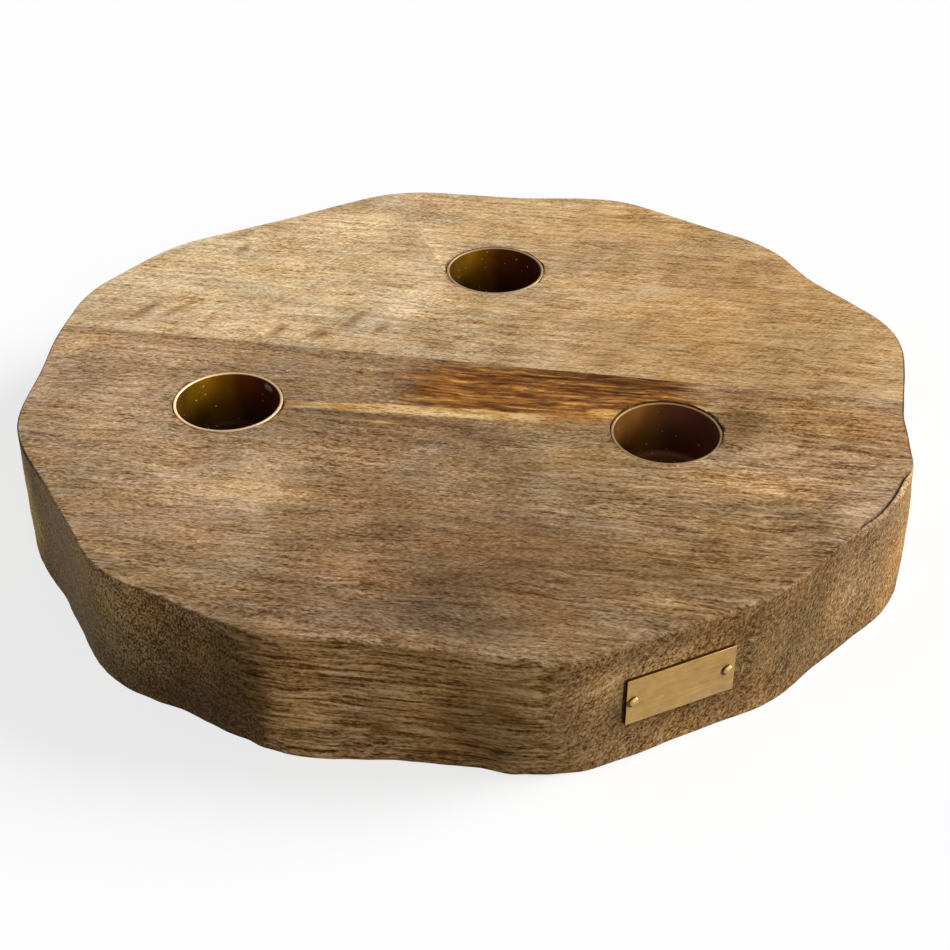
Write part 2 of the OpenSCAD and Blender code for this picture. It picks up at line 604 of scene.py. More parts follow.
    def _fine_specks(self) -> bpy.types.NodeTree:
        """Masks sparse small round specks.

        Returns:
            The group.
        """
        g = PatternGroup("fine_specks", {"Vector": ORIGIN, "Spacing": 4.0, "Size": 0.2, "Share": 0.3}, "Mask")
        spread = g.vector("SCALE", g.inputs["Vector"], g.math("DIVIDE", 1.0, g.inputs["Spacing"]))
        cells = g.node("ShaderNodeTexVoronoi", {"Vector": spread, "Scale": 1.0})
        chance = g.node("ShaderNodeSeparateColor", {"Color": cells.outputs["Color"]})
        kept = g.math("LESS_THAN", chance.outputs[0], g.inputs["Share"])
        size = g.math("DIVIDE", g.inputs["Size"], g.inputs["Spacing"])
        size = g.math("MULTIPLY", size, g.math("ADD", chance.outputs[1], 0.5))
        near = g.ease(g.math("DIVIDE", cells.outputs["Distance"], size), 1.0, 0.6)
        return g.close(g.math("MULTIPLY", near, kept))

    def _brushed_lines(self) -> bpy.types.NodeTree:
        """Gives fine straight lines along X, as brushing or drawing leaves them in metal.

        Returns:
            The group.
        """
        g = PatternGroup("brushed_lines", {"Vector": ORIGIN, "Length": 12.0, "Width": 0.15}, "Value")
        size = g.join(g.inputs["Length"], g.inputs["Width"], g.inputs["Width"])
        return g.close(g.noise(g.vector("DIVIDE", g.inputs["Vector"], size), detail=3, roughness=0.7))


class Finish:
    """What the finishes share: a material with one plain shader."""

    @staticmethod
    def start(name: str) -> Tuple[bpy.types.Material, NodeWriter, bpy.types.Node]:
        """Makes an empty material with its shader.

        Args:
            name: Name of the material.

        Returns:
            The material, a writer for its nodes, and its shader.
        """
        material = bpy.data.materials.new(name)
        w = blank_nodes(material)
        shader = w.node("ShaderNodeBsdfPrincipled")
        end = w.node("ShaderNodeOutputMaterial")
        w.feed(end.inputs["Surface"], shader.outputs[0])
        return material, w, shader


@dataclass(frozen=True)
class Tint:
    """A soft patch of wood that is lighter, darker or warmer: a colour that multiplies the wood's own.

    Lengths are in millimetres. A patch reaches through the levels, given by their middle and their half height. Its
    core is the share of it that is full, square makes it boxy, and drift is how far it wanders with the wood's clouds.
    Some patches are the wood's own tone, and others are painted light and painted shade.
    """

    centre: Pair
    size: Pair
    colour: Colour
    turn: float = 0.0
    core: float = 0.1
    square: float = 2.0
    levels: Pair = (20.0, 60.0)
    drift: float = 1.0

    def mask(self, w: NodeWriter, patterns: Patterns, place: Socket) -> Socket:
        """Returns the patch's mask at a place."""
        centre, size = (*self.centre, self.levels[0]), (*self.size, self.levels[1])
        return patterns.patch(w, place, centre, size, self.core, self.turn, self.square)


@dataclass(frozen=True)
class WoodPlace:
    """What the shading of a plank starts from.

    Attributes:
        w: Writer of the plank's material.
        patterns: The shared groups.
        place: Place in the plank.
        fibre: Place along its fibres.
        wall: How far a face is upright.
        long_wall: How far it is a wall along the fibres.
        end_wall: How far it is a wall across the fibres.
    """

    w: NodeWriter
    patterns: Patterns
    place: Socket
    fibre: Socket
    wall: Socket
    long_wall: Socket
    end_wall: Socket


@dataclass(frozen=True)
class HeartStreak:
    """The orange heartwood along the glue line, and the pale sapwood line under it. Lengths are in millimetres.

    The rag is the noise that frays their outlines, and its reach is how far it moves them.
    """

    heart: Tuple[Tint, ...]
    heart_stops: Stops
    sapwood: Tuple[Tint, ...]
    sapwood_stops: Stops
    heart_blot: Colour = (0.52, 0.50, 0.60)
    sapwood_blot: Colour = (0.80, 0.66, 0.45)
    rag: Place = (14, 1.1, 1.1)
    heart_reach: Place = (32.0, 7.0, 0.0)
    sapwood_reach: Place = (6.4, 1.68, 0.0)
    bold_streak: Place = (19, 1.15, 1.15)
    blot: Place = (6.5, 2.2, 2.2)

    def lay(self, at: WoodPlace, colour: Socket, streak: Socket) -> Socket:
        """Lays both over the wood's colour.

        Args:
            at: What the shading starts from.
            colour: Colour of the wood under them.
            streak: Fine streaks, from 0 to 1.

        Returns:
            The new colour.
        """
        w = at.w
        ragged = w.noise(w.stretched(at.fibre, self.rag), detail=3, roughness=0.65, colour=True)
        ragged = w.vector("SUBTRACT", ragged, HALF)
        bold = w.noise(w.stretched(at.fibre, self.bold_streak), detail=3, roughness=0.58)
        tone = w.blend(0.15, bold, streak)
        blots = w.ease(w.noise(w.stretched(at.fibre, self.blot), detail=2), 0.50, 0.62)
        for patches, stops, blot, reach in (
            (self.heart, self.heart_stops, self.heart_blot, self.heart_reach),
            (self.sapwood, self.sapwood_stops, self.sapwood_blot, self.sapwood_reach),
        ):
            place = w.vector("ADD", at.place, w.vector("MULTIPLY", ragged, reach))
            shade = w.stain(blots, w.ramp(tone, stops), blot)
            for patch in patches:
                colour = w.mix(patch.mask(w, at.patterns, place), colour, w.stain(1.0, shade, patch.colour))
        return colour


@dataclass(frozen=True)
class PlankFinish(Finish):
    """Oiled, open-pored wood, solid through the plank. Lengths are in millimetres.

    Strokes, fibres, lines, marks and clouds are the sizes of the noise that draws them, along the fibres and across.
    The speckle is the contrast of the walls across the fibres: at the far left, then left and right of the middle.
    """

    name: str
    slot: str
    stops: Stops
    pore_colour: Colour
    lean: float
    sway: float
    pith: Place
    band_spacing: float
    band_share: float
    curl_pitch: float
    curl_share: float
    long_from: Pair
    calm_from: Pair
    calm: float
    tints: Tuple[Tint, ...]
    sockets: Tuple[Pair, ...]
    streak: Optional[HeartStreak] = None
    golden: Colour = (1.06, 1.01, 0.91)
    greyed: Colour = (0.95, 0.97, 1.02)
    figure_share: float = 1.3
    end_figure_share: float = 0.7
    grain_share: float = 0.8
    end_grain_share: float = 1.8
    end_band_share: float = 0.5
    line_share: float = 1.9
    line_sway: float = 0.4
    sanded_share: float = 0.3
    sanded_turn: float = 58.0
    sanded_stroke: Place = (8.0, 0.45, 0.45)
    short_stroke: Place = (1.7, 0.6, 0.6)
    long_stroke: Place = (9.0, 0.85, 0.85)
    fine_fibre: Place = (0.9, 0.42, 0.42)
    wall_line: Place = (20.0, 0.62, 0.62)
    saw_mark: Place = (0.55, 0.55, 14.0)
    rake: Place = (0.0, -50.0, 45.0)
    raked_stroke: Place = (0.85, 0.44, 0.44)
    figure_cloud: Place = (12, 7, 12)
    figure_drift: float = 60.0
    tone_cloud: Place = (20, 9, 14)
    tone_drift: Place = (14.0, 9.0, 0.0)
    long_pore: Pair = (4.6, 0.6)
    short_pore: Pair = (1.6, 0.46)
    pore_offset: Place = (31.0, 7.0, 5.0)
    upright: Pair = (0.85, 0.4)
    along_lean: float = 0.06
    across_from: Pair = (0.12, 0.42)
    speckle: Place = (0.8, 1.7, 1.05)
    speckle_left: Pair = (-92.0, -78.0)
    speckle_right: Pair = (-15.0, 25.0)
    socket_radius: float = 12.5
    torn: Colour = (0.48, 0.40, 0.32)
    long_wall: Colour = (1.0, 0.89, 0.67)
    end_wall: Colour = (0.83, 0.76, 0.60)
    # Colour of the painted shade: in the crack, along the upper edge and at the foot of the wall
    crack: Colour = (0.13, 0.08, 0.045)
    splinter: Colour = (1.9, 1.95, 1.9)
    roughness: float = 0.6
    shine: float = 0.05
    relief: float = 0.14 * MM
    relief_share: float = 0.55

    def build(self, patterns: Patterns) -> bpy.types.Material:
        """Builds the plank's material.

        Args:
            patterns: The shared groups.

        Returns:
            The material.
        """
        material, w, shader = self.start(self.name)
        at = self._wood_place(w, patterns)
        figure, grain, pores = self._figure(at), self._grain(at), self._pores(at)
        colour = self._mottle(at, w.ramp(self._tone(at, figure, grain), self.stops))
        if self.streak:
            colour = self.streak.lay(at, colour, figure)
        colour = self._sockets(at, w.stain(pores, colour, self.pore_colour))
        # Where the split layer is below zero it is painted shade, in the crack, along the upper edge and at the foot;
        # above zero it is the pale splinter
        split = w.node("ShaderNodeAttribute", attribute_name="split").outputs["Fac"]
        for mask, shade in (
            (w.math("MULTIPLY", split, -1.0, clamp=True), self.crack),
            (w.math("MULTIPLY", split, 1.0, clamp=True), self.splinter),
            (at.long_wall, self.long_wall),
            (at.end_wall, self.end_wall),
        ):
            colour = w.stain(mask, colour, shade)
        w.feed(shader.inputs["Base Color"], colour)
        w.feed(shader.inputs["Roughness"], w.ease(figure, 0.25, 0.75, self.roughness - 0.07, self.roughness + 0.1))
        shader.inputs["Specular IOR Level"].default_value = self.shine
        sawn = w.math("MULTIPLY", w.noise(w.stretched(at.place, self.saw_mark), detail=1), at.wall)
        height = w.math("ADD", w.math("MULTIPLY", figure, 0.5), w.math("MULTIPLY", sawn, 0.8))
        height = w.math("SUBTRACT", w.math("ADD", height, w.math("MULTIPLY", grain, 0.5)), pores)
        bump = w.node("ShaderNodeBump", {"Strength": self.relief_share, "Distance": self.relief, "Height": height})
        w.feed(shader.inputs["Normal"], bump.outputs[0])
        return material

    def _wood_place(self, w: NodeWriter, patterns: Patterns) -> WoodPlace:
        """Bends space along the fibres and tells the walls from the top.

        Args:
            w: Writer of the plank's material.
            patterns: The shared groups.

        Returns:
            What the shading starts from.
        """
        place = w.millimetres()
        fibre = w.group(patterns.fibre_space, {"Vector": place, "Lean": self.lean, "Sway": self.sway})
        along, _, up = w.split(w.node("ShaderNodeTexCoord").outputs["Normal"])
        wall = w.ease(w.math("ABSOLUTE", up), *self.upright)
        askew = w.math("ABSOLUTE", w.math("SUBTRACT", along, self.along_lean))
        end_wall = w.math("MULTIPLY", wall, w.ease(askew, *self.across_from))
        return WoodPlace(w, patterns, place, fibre, wall, w.math("SUBTRACT", wall, end_wall), end_wall)

    def _figure(self, at: WoodPlace) -> Socket:
        """Draws the fibre figure: short strokes that give way to long ones to the right and on the long walls.

        Args:
            at: What the shading starts from.

        Returns:
            A value around a half.
        """
        w = at.w
        short = w.noise(w.stretched(at.fibre, self.short_stroke), detail=3, roughness=0.7)
        long = w.noise(w.stretched(at.fibre, self.long_stroke), detail=3, roughness=0.66)
        clouds = w.noise(w.stretched(at.place, self.figure_cloud), detail=2)
        drift = w.math("MULTIPLY", w.math("SUBTRACT", clouds, 0.5), self.figure_drift)
        share = w.ease(w.math("ADD", w.split(at.place)[0], drift), *self.long_from, 0.3, 0.95)
        return w.blend(w.math("MAXIMUM", share, w.math("MULTIPLY", at.long_wall, 0.6)), short, long)

    def _grain(self, at: WoodPlace) -> Socket:
        """Draws the fine grain: along the fibres, and raked by the hewing on the walls across them.

        Args:
            at: What the shading starts from.

        Returns:
            A value around a half.
        """
        w = at.w
        fine = w.noise(w.stretched(at.fibre, self.fine_fibre), detail=1)
        raked = w.noise(w.turned(at.place, self.rake, self.raked_stroke), detail=2, roughness=0.65)
        return w.blend(at.end_wall, fine, raked)

    def _pores(self, at: WoodPlace) -> Socket:
        """Masks the open pores, long and short.

        Args:
            at: What the shading starts from.

        Returns:
            The mask, from 0 to 1.
        """
        w = at.w
        apart = w.vector("ADD", at.fibre, self.pore_offset)
        long, short = (
            w.group(at.patterns.pore_lines, {"Vector": vector, "Length": size[0], "Width": size[1], "Amount": amount})
            for vector, size, amount in ((at.fibre, self.long_pore, 0.34), (apart, self.short_pore, 0.38))
        )
        return w.math("ADD", w.math("MULTIPLY", long, 0.7), w.math("MULTIPLY", short, 0.6), clamp=True)

    def _tone(self, at: WoodPlace, figure: Socket, grain: Socket) -> Socket:
        """Adds up how light the wood is, from its fine and broad figure.

        Args:
            at: What the shading starts from.
            figure: The fibre figure.
            grain: The fine grain.

        Returns:
            A value around a half.
        """
        w, place, fibre = at.w, at.place, at.fibre
        bands = w.group(at.patterns.growth_bands, {"Vector": fibre, "Pith": self.pith, "Spacing": self.band_spacing})
        sanded = w.noise(w.turned(place, (0.0, 0.0, self.sanded_turn), self.sanded_stroke), detail=2, roughness=0.6)
        curl = w.noise(w.stretched(fibre, (self.curl_pitch, 6 * self.curl_pitch, 6 * self.curl_pitch)), detail=2)
        straight = w.vector("ADD", place, w.vector("SCALE", w.vector("SUBTRACT", fibre, place), self.line_sway))
        lines = w.noise(w.stretched(straight, self.wall_line), detail=3)
        tone = 0.0
        for value, share in (
            (figure, w.ease(at.end_wall, 0.0, 1.0, self.figure_share, self.end_figure_share)),
            (grain, w.ease(at.end_wall, 0.0, 1.0, self.grain_share, self.end_grain_share)),
            (bands, w.ease(at.end_wall, 0.0, 1.0, self.band_share, self.end_band_share)),
            (lines, w.math("MULTIPLY", at.long_wall, self.line_share)),
            (sanded, w.math("MULTIPLY", w.math("SUBTRACT", 1.0, at.wall), self.sanded_share)),
            (curl, self.curl_share),
        ):
            tone = w.math("ADD", tone, w.math("MULTIPLY", w.math("SUBTRACT", value, 0.5), share))
        along = w.split(place)[0]
        speckled = w.ease(along, *self.speckle_right, *self.speckle[1:])
        speckled = w.ease(along, *self.speckle_left, self.speckle[0], speckled)
        contrast = w.blend(at.end_wall, w.ease(along, *self.calm_from, 1.0, self.calm), speckled)
        return w.math("ADD", w.math("MULTIPLY", tone, contrast), 0.5)

    def _mottle(self, at: WoodPlace, colour: Socket) -> Socket:
        """Lays drifts of golden and grey wood and the plank's patches over its colour: its own tone, painted light and
        painted shade.

        Args:
            at: What the shading starts from.
            colour: Colour of the wood.

        Returns:
            The new colour.
        """
        w = at.w
        soft = w.noise(w.stretched(at.place, self.tone_cloud), detail=3, roughness=0.6, colour=True)
        drift, light, _ = w.split(soft)
        offset = w.vector("MULTIPLY", w.vector("SUBTRACT", soft, HALF), self.tone_drift)
        tinted = w.ramp(drift, ((0.36, self.golden), (0.64, self.greyed)))
        spots: Dict[float, Socket] = {}
        for tint in self.tints:
            if tint.drift not in spots:
                spots[tint.drift] = w.vector("ADD", at.place, w.vector("SCALE", offset, tint.drift))
            tinted = w.stain(tint.mask(w, at.patterns, spots[tint.drift]), tinted, tint.colour)
        colour = w.stain(1.0, colour, tinted)
        return w.stain(1.0, colour, w.grey(w.ease(light, 0.3, 0.7, 0.9, 1.1)))

    def _sockets(self, at: WoodPlace, colour: Socket) -> Socket:
        """Darkens the torn fibres around the plank's sockets.

        Args:
            at: What the shading starts from.
            colour: Colour of the wood.

        Returns:
            The new colour.
        """
        for x, y in self.sockets:
            inputs = {"Vector": at.place, "Centre": (x, y, 0.0), "Radius": self.socket_radius}
            colour = at.w.stain(at.w.group(at.patterns.torn_rim, inputs), colour, self.torn)
        return colour


@dataclass(frozen=True)
class CupFinish(Finish):
    """Drawn brass, dull and dark with age inside, worn bright at the rim and plain outside. Lengths are in millimetres.

    Its wall and floor carry painted light and shade that differ around and down the cup, its rim a painted highlight on
    the left side, and the left cup a painted glint.

    bend_middle is the middle of the bend into the floor, as its distance from the cup's axis and its depth. The sheet
    turns from inside to outside at bend_sheet from there.
    """

    name: str
    # Colours around the wall, aged brass with painted light and shade
    inside: Stops
    rim: Colour
    floor: Colour
    # How much lighter the rim grows towards the cup's left side: a painted highlight
    painted_rim_highlight: float = 1.1
    # Colour of the dust specks, and of the painted glint inside the left cup
    dust_and_glint: Colour = (0.75, 0.66, 0.5)
    # Place and size of the painted glint, a pale patch on the wall
    painted_glint: Optional[Place] = None
    painted_glint_size: Place = (1.9, 1.9, 1.2)
    outer_bright: Colour = (0.60, 0.43, 0.17)
    outer_dull: Colour = (0.40, 0.26, 0.09)
    bend_middle: Pair = (10.0, 12.0)
    bend_sheet: Pair = (1.75, 1.95)
    rim_depth: Pair = (0.24, 0.05)
    floor_depth: Pair = (11.6, 13.4)
    cloud: Place = (7, 7, 5)
    shine: float = 0.1
    relief: float = 0.04 * MM
    relief_share: float = 0.25

    def build(self, patterns: Patterns, middle: Vector) -> bpy.types.Material:
        """Builds a cup's material from the depth that the cup's mesh carries.

        Args:
            patterns: The shared groups.
            middle: Middle of the cup.

        Returns:
            The material.
        """
        material, w, shader = self.start(self.name)
        place = w.millimetres()
        depth = w.node("ShaderNodeAttribute", attribute_name="depth").outputs["Fac"]
        clouds = w.noise(w.stretched(place, self.cloud), detail=3, roughness=0.6)
        drawn = w.group(patterns.brushed_lines, {
            "Vector": w.vector("MULTIPLY", place, (0.02, 0.02, 1.0)), "Length": 1.0, "Width": 0.25})
        right, back, _ = w.split(w.vector("SUBTRACT", place, tuple(middle / MM)))
        turn = w.math("DIVIDE", w.math("ABSOLUTE", w.math("ARCTAN2", back, right)), math.pi)
        spread = w.math("MULTIPLY", w.math("SUBTRACT", clouds, 0.5), 0.15)
        # Painted light and shade around the wall, from the ramp by the turn around the cup
        colour = w.ramp(w.math("ADD", turn, spread), self.inside)
        # Painted light and shade down the wall: lighter near the mouth, darker deep on the left and back, lighter deep
        # on the right
        shade = w.ease(depth, 1.0, 10.0, 1.25, w.ease(turn, 0.25, 0.5, 1.5, 0.6))
        colour = w.stain(1.0, colour, w.grey(shade))
        # The floor's colour differs by cup, as painted light and shade
        floor = w.math("MULTIPLY", w.ease(depth, *self.floor_depth), w.ease(clouds, 0.3, 0.6, 0.4, 1.0))
        colour = w.mix(floor, colour, self.floor)
        out = w.math("SUBTRACT", w.vector("LENGTH", w.join(right, back, 0.0)), self.bend_middle[0])
        down = w.math("SUBTRACT", depth, self.bend_middle[1])
        past_bend = w.vector("MAXIMUM", w.join(out, down, 0.0), ORIGIN)
        outside = w.ease(w.vector("LENGTH", past_bend), *self.bend_sheet)
        colour = w.mix(outside, colour, w.mix(w.ease(clouds, 0.35, 0.65), self.outer_dull, self.outer_bright))
        edge = w.ease(depth, *self.rim_depth)
        # Painted highlight: the rim grows lighter towards the cup's left side
        worn = w.grey(w.ease(turn, 0.45, 0.9, 1.0, self.painted_rim_highlight))
        colour = w.mix(edge, colour, w.stain(1.0, worn, self.rim))
        specks = w.group(patterns.fine_specks, {"Vector": place, "Spacing": 1.6, "Size": 0.17, "Share": 0.5})
        # A painted glint: a pale patch on the wall, mixed in with the dust specks
        if self.painted_glint:
            patch = patterns.patch(w, place, self.painted_glint, self.painted_glint_size, core=0.3)
            specks = w.math("MAXIMUM", specks, w.math("MULTIPLY", patch, w.ease(clouds, 0.3, 0.6, 0.2, 0.5)))
        specks = w.math("SUBTRACT", specks, outside, clamp=True)
        colour = w.mix(specks, colour, self.dust_and_glint)
        w.feed(shader.inputs["Base Color"], colour)
        metal = w.math("SUBTRACT", w.ease(edge, 0.0, 1.0, 0.1, 0.55), specks, clamp=True)
        bare = w.math("SUBTRACT", outside, edge, clamp=True)
        w.feed(shader.inputs["Metallic"], w.math("MAXIMUM", metal, bare))
        uneven = w.math("ADD", clouds, w.math("MULTIPLY", drawn, 0.4))
        w.feed(shader.inputs["Roughness"], w.ease(uneven, 0.4, 0.9, 0.38, 0.55))
        shader.inputs["Specular IOR Level"].default_value = self.shine
        bump = w.node("ShaderNodeBump", {"Strength": self.relief_share, "Distance": self.relief, "Height": drawn})
        w.feed(shader.inputs["Normal"], bump.outputs[0])
        return material


@dataclass(frozen=True)
class SheetFinish(Finish):
    """Brushed sheet brass, brushed along the plate and dulled by handling, with painted shade on faces turned from the
    front and painted shadows by the pins.
    """

    name: str
    bright: Colour
    dull: Colour
    roughness: float
    turn: float = 0.0
    # Colour of the painted shade on faces turned from the front, and of the painted shadows beside the pins
    edge: Colour = (0.10, 0.05, 0.018)
    pin_shadows: Tuple[Place, ...] = ()
    pin_shadow_radius: float = 1.3
    cloud: Place = (3.5, 3.5, 2.5)
    relief: float = 0.03 * MM
    relief_share: float = 0.3

    def build(self, patterns: Patterns) -> bpy.types.Material:
        """Builds the plate's or the pins' material.

        Args:
            patterns: The shared groups.

        Returns:
            The material.
        """
        material, w, shader = self.start(self.name)
        mapping = w.node("ShaderNodeMapping", {"Vector": w.millimetres(), "Rotation": (0.0, 0.0, -self.turn)})
        place = mapping.outputs[0]
        lines = w.group(patterns.brushed_lines, {"Vector": place, "Length": 9.0, "Width": 0.16})
        clouds = w.noise(w.stretched(place, self.cloud), detail=4, roughness=0.65)
        tone = w.math("ADD", w.math("MULTIPLY", lines, 0.6), w.math("MULTIPLY", clouds, 0.5))
        colour = w.mix(w.ease(tone, 0.35, 0.75), self.dull, self.bright)
        spots = w.group(patterns.fine_specks, {"Vector": place, "Spacing": 1.9, "Size": 0.2, "Share": 0.2})
        colour = w.mix(w.math("MULTIPLY", spots, 0.6), colour, self.dull)
        # Painted shade: faces that turn away from the plate's front, its sides and the rims of the pin heads, darken
        normal = w.node("ShaderNodeTexCoord").outputs["Normal"]
        facing = w.vector("DOT_PRODUCT", normal, (math.sin(self.turn), -math.cos(self.turn), 0.0))
        colour = w.mix(w.ease(facing, 0.72, 0.3), colour, self.edge)
        # Painted shadows on the plate beside each pin
        for pin_shadow in self.pin_shadows:
            mask = patterns.patch(w, w.millimetres(), pin_shadow, (self.pin_shadow_radius,) * 3, core=0.8)
            colour = w.mix(mask, colour, self.edge)
        w.feed(shader.inputs["Base Color"], colour)
        shader.inputs["Metallic"].default_value = 1.0
        w.feed(shader.inputs["Roughness"], w.ease(tone, 0.3, 0.8, self.roughness + 0.1, self.roughness - 0.06))
        bump = w.node("ShaderNodeBump", {"Strength": self.relief_share, "Distance": self.relief, "Height": lines})
        w.feed(shader.inputs["Normal"], bump.outputs[0])
        return material


@dataclass
class HewnPlank:
    """One plank of the board: the CAD solid with worn edges, a wavy hewn wall and torn socket mouths.

    The tables go around the board by degrees. Their flares, swells, brims and crack sizes are in millimetres, their
    wears and painted shades are shares.
    """

    side: PlankSide
    finish: PlankFinish
    column_degrees: float = 1.8
    column_snap: float = 0.35 * MM
    ring_step: float = 2.25 * MM
    ring_snap: float = 0.02 * MM
    shortest_cut: float = 0.7 * MM
    round_steps: int = 5
    wall_from: float = 86 * MM
    wave: float = 0.35 * MM
    wave_lengths: Pair = (17 * MM, 6 * MM)
    wave_calm: Pair = (18 * MM, 26 * MM)
    rough: float = 0.09 * MM
    rough_length: float = 2.4 * MM
    wear_length: float = 9 * MM
    mouth_ease: float = 0.12 * MM
    tear: float = 0.4 * MM
    tear_length: float = 1.6 * MM
    lip: float = 0.28 * MM
    foot_wear: float = 0.3
    foot_reach: float = 14 * MM
    foot_flare: Table = (
        (0, 0.4), (60, 0.2), (120, 0.4), (180, 0.3), (199, 0.2), (204, 0.0), (209, 0.55), (213, 0.8), (218, 0.25),
        (221, 0.3), (232, 0.45), (238, 0.4), (241, -0.1), (245, -0.95), (249, -0.6), (252, -0.2), (254, -0.3),
        (257, 0.9), (261, 1.65), (264, 1.6), (267, 0.9), (272.5, -0.15), (277, -0.4), (281, -0.5), (285, 0.4),
        (287, -0.2), (290, 0.0), (294, 0.9), (300, 1.0), (305, 0.5), (312, 0.2), (320, 0.6), (326, 0.3), (333, 1.4),
        (338, 1.0), (342, 1.15), (345, 0.6), (348, -0.1), (352, -0.4), (360, 0.4),
    )
    swell: Table = (
        (0, -0.5), (8, 0.0), (24, 0.5), (33, 0.0), (48, 0.5), (62, 0.3), (90, 0.2), (112, 0.1), (125, 0.5), (140, 0.6),
        (155, 0.1), (195, 0.15), (320, 0.0), (329, 0.1), (335, -0.2), (340, 0.3), (347, 1.05), (350, 1.05), (354, -0.1),
        (360, -0.5),
    )
    brim: Table = (
        (0, -0.7), (5, -0.25), (12, 0.15), (18, 0.0), (24, 0.2), (30, -0.35), (36, -0.45), (45, 0.35), (50, 0.1),
        (62, 0.3), (90, 0.2), (112, 0.1), (125, 0.5), (140, 0.6), (155, 0.1), (195, 0.1), (218, 0.0), (228, -0.25),
        (236, -0.3), (244, -0.75), (256, -0.95), (264, -1.05), (272, -1.4), (278, -1.05), (285, -0.2), (292, 0.0),
        (335, 0.0), (348, 0.3), (355, -0.6), (360, -0.7),
    )
    brim_from: float = 15 * MM
    arris: float = 1.0 * MM
    arris_wear: Table = (
        (0, 0.6), (60, 0.6), (120, 0.6), (180, 0.5), (235, 0.4), (262, 0.6), (278, 1.3), (289, 3.0), (298, 2.0),
        (312, 1.3), (322, 0.6), (345, 0.4), (360, 0.6),
    )
    plate_clear: Tuple[float, float, float] = (304, 9, 13)
    crack: Tuple[float, float, float, float] = (332.5, 336, 346.5, 349)
    crack_inset: Table = ((0, 1.65), (0.2, 1.2), (0.4, 0.85), (0.6, 0.6), (0.8, 0.3), (1, 0))
    crack_drop: Table = ((0, 0), (0.2, 1.0), (0.4, 0.2), (0.6, 0.35), (0.8, 0.55), (1, 0.9))
    crack_ragged: float = 0.25 * MM
    splinter: Tuple[float, float, float, float] = (341, 344, 347.5, 349.5)
    # Painted shade along the upper edge, by degrees around the board
    edge_shade: Table = (
        (0, 0.95), (40, 0.8), (70, 0.6), (150, 0.7), (208, 0.8), (220, 0.0), (330, 0.0), (350, 0.1), (353, 0.9),
        (360, 0.95),
    )
    # Painted shade along the foot, by degrees around the board
    foot_shade: Table = ((0, 0.5), (316, 0.3), (326, 0.75), (348, 0.75), (360, 0.5))
    top: float = field(init=False, default=0.0)
    seam: float = field(init=False, default=0.0)

    def build(self, patterns: Patterns) -> bpy.types.Object:
        """Builds and dresses the plank.

        Args:
            patterns: The shared groups.

        Returns:
            The finished piece.
        """
        low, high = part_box(self.side.value)
        self.top, self.seam = high[2], (high[1] if self.side is PlankSide.FRONT else low[1])
        bm = merged_copy(self.side.value)
        bm.verts.layers.float.new("split")
        self._cut_columns(bm)
        self._cut_rings(bm)
        self._refine(bm)
        walls = {v for f in bm.faces if self._is_wall(f) for v in f.verts}
        self._tear_mouths(bm)
        self._hew(bm, walls)
        bm.normal_update()
        for face in bm.faces:
            face.smooth = abs(face.normal.z) < 0.99999 and not self._on_seam(face)
        piece = make_piece(bm, f"{self.side.value}_wood")
        return dress(piece, self.finish.build(patterns), self.side.value, "board")

    def _on_seam(self, face: bmesh.types.BMFace) -> bool:
        """Tells whether a face is part of the glued face."""
        return abs(face.normal.y) > 0.99 and abs(face.calc_center_median().y - self.seam) < 0.05 * MM

    def _is_wall(self, face: bmesh.types.BMFace) -> bool:
        """Tells whether a face is part of the hewn wall or its worn edges."""
        far = face.calc_center_median().xy.length > self.wall_from
        return far and abs(face.normal.z) < 0.9999 and not self._on_seam(face)

    def _wall_parts(self, bm: bmesh.types.BMesh) -> List[object]:
        """Gathers what the wall is made of.

        Args:
            bm: The plank.

        Returns:
            The wall's faces with their edges and corners.
        """
        faces = [f for f in bm.faces if self._is_wall(f)]
        edges = {e for f in faces for e in f.edges}
        return [*faces, *edges, *{v for e in edges for v in e.verts}]

    def _cut_columns(self, bm: bmesh.types.BMesh) -> None:
        """Cuts the wall into upright columns, so that it can wave.

        Args:
            bm: The plank.
        """
        count = round(180 / self.column_degrees)
        for i in range(count):
            angle = math.radians(i * self.column_degrees)
            across = (-math.sin(angle), math.cos(angle), 0)
            bmesh.ops.bisect_plane(
                bm, geom=self._wall_parts(bm), dist=self.column_snap, plane_co=ORIGIN, plane_no=across)
        bm.normal_update()

    def _cut_rings(self, bm: bmesh.types.BMesh) -> None:
        """Cuts the wall and its sanded flats into level rings.

        Args:
            bm: The plank.
        """
        flat = [self.arris * i / self.round_steps for i in range(1, self.round_steps + 1)]
        count = int(self.top / self.ring_step)
        levels = [*flat, *(i * self.ring_step for i in range(1, count)), *(self.top - v for v in flat)]
        for level in levels:
            bmesh.ops.bisect_plane(
                bm, geom=self._wall_parts(bm), dist=self.ring_snap, plane_co=(0, 0, level), plane_no=(0, 0, 1))
        bm.normal_update()

    def _refine(self, bm: bmesh.types.BMesh) -> None:
        """Halves the wall's faces both ways, so that it can be rough.

        Args:
            bm: The plank.
        """
        edges = {e for f in bm.faces if self._is_wall(f) and len(f.verts) == 4 for e in f.edges}
        fine = [e for e in edges if e.calc_length() > self.shortest_cut]
        bmesh.ops.subdivide_edges(bm, edges=fine, cuts=1, use_grid_fill=True)
        bm.normal_update()

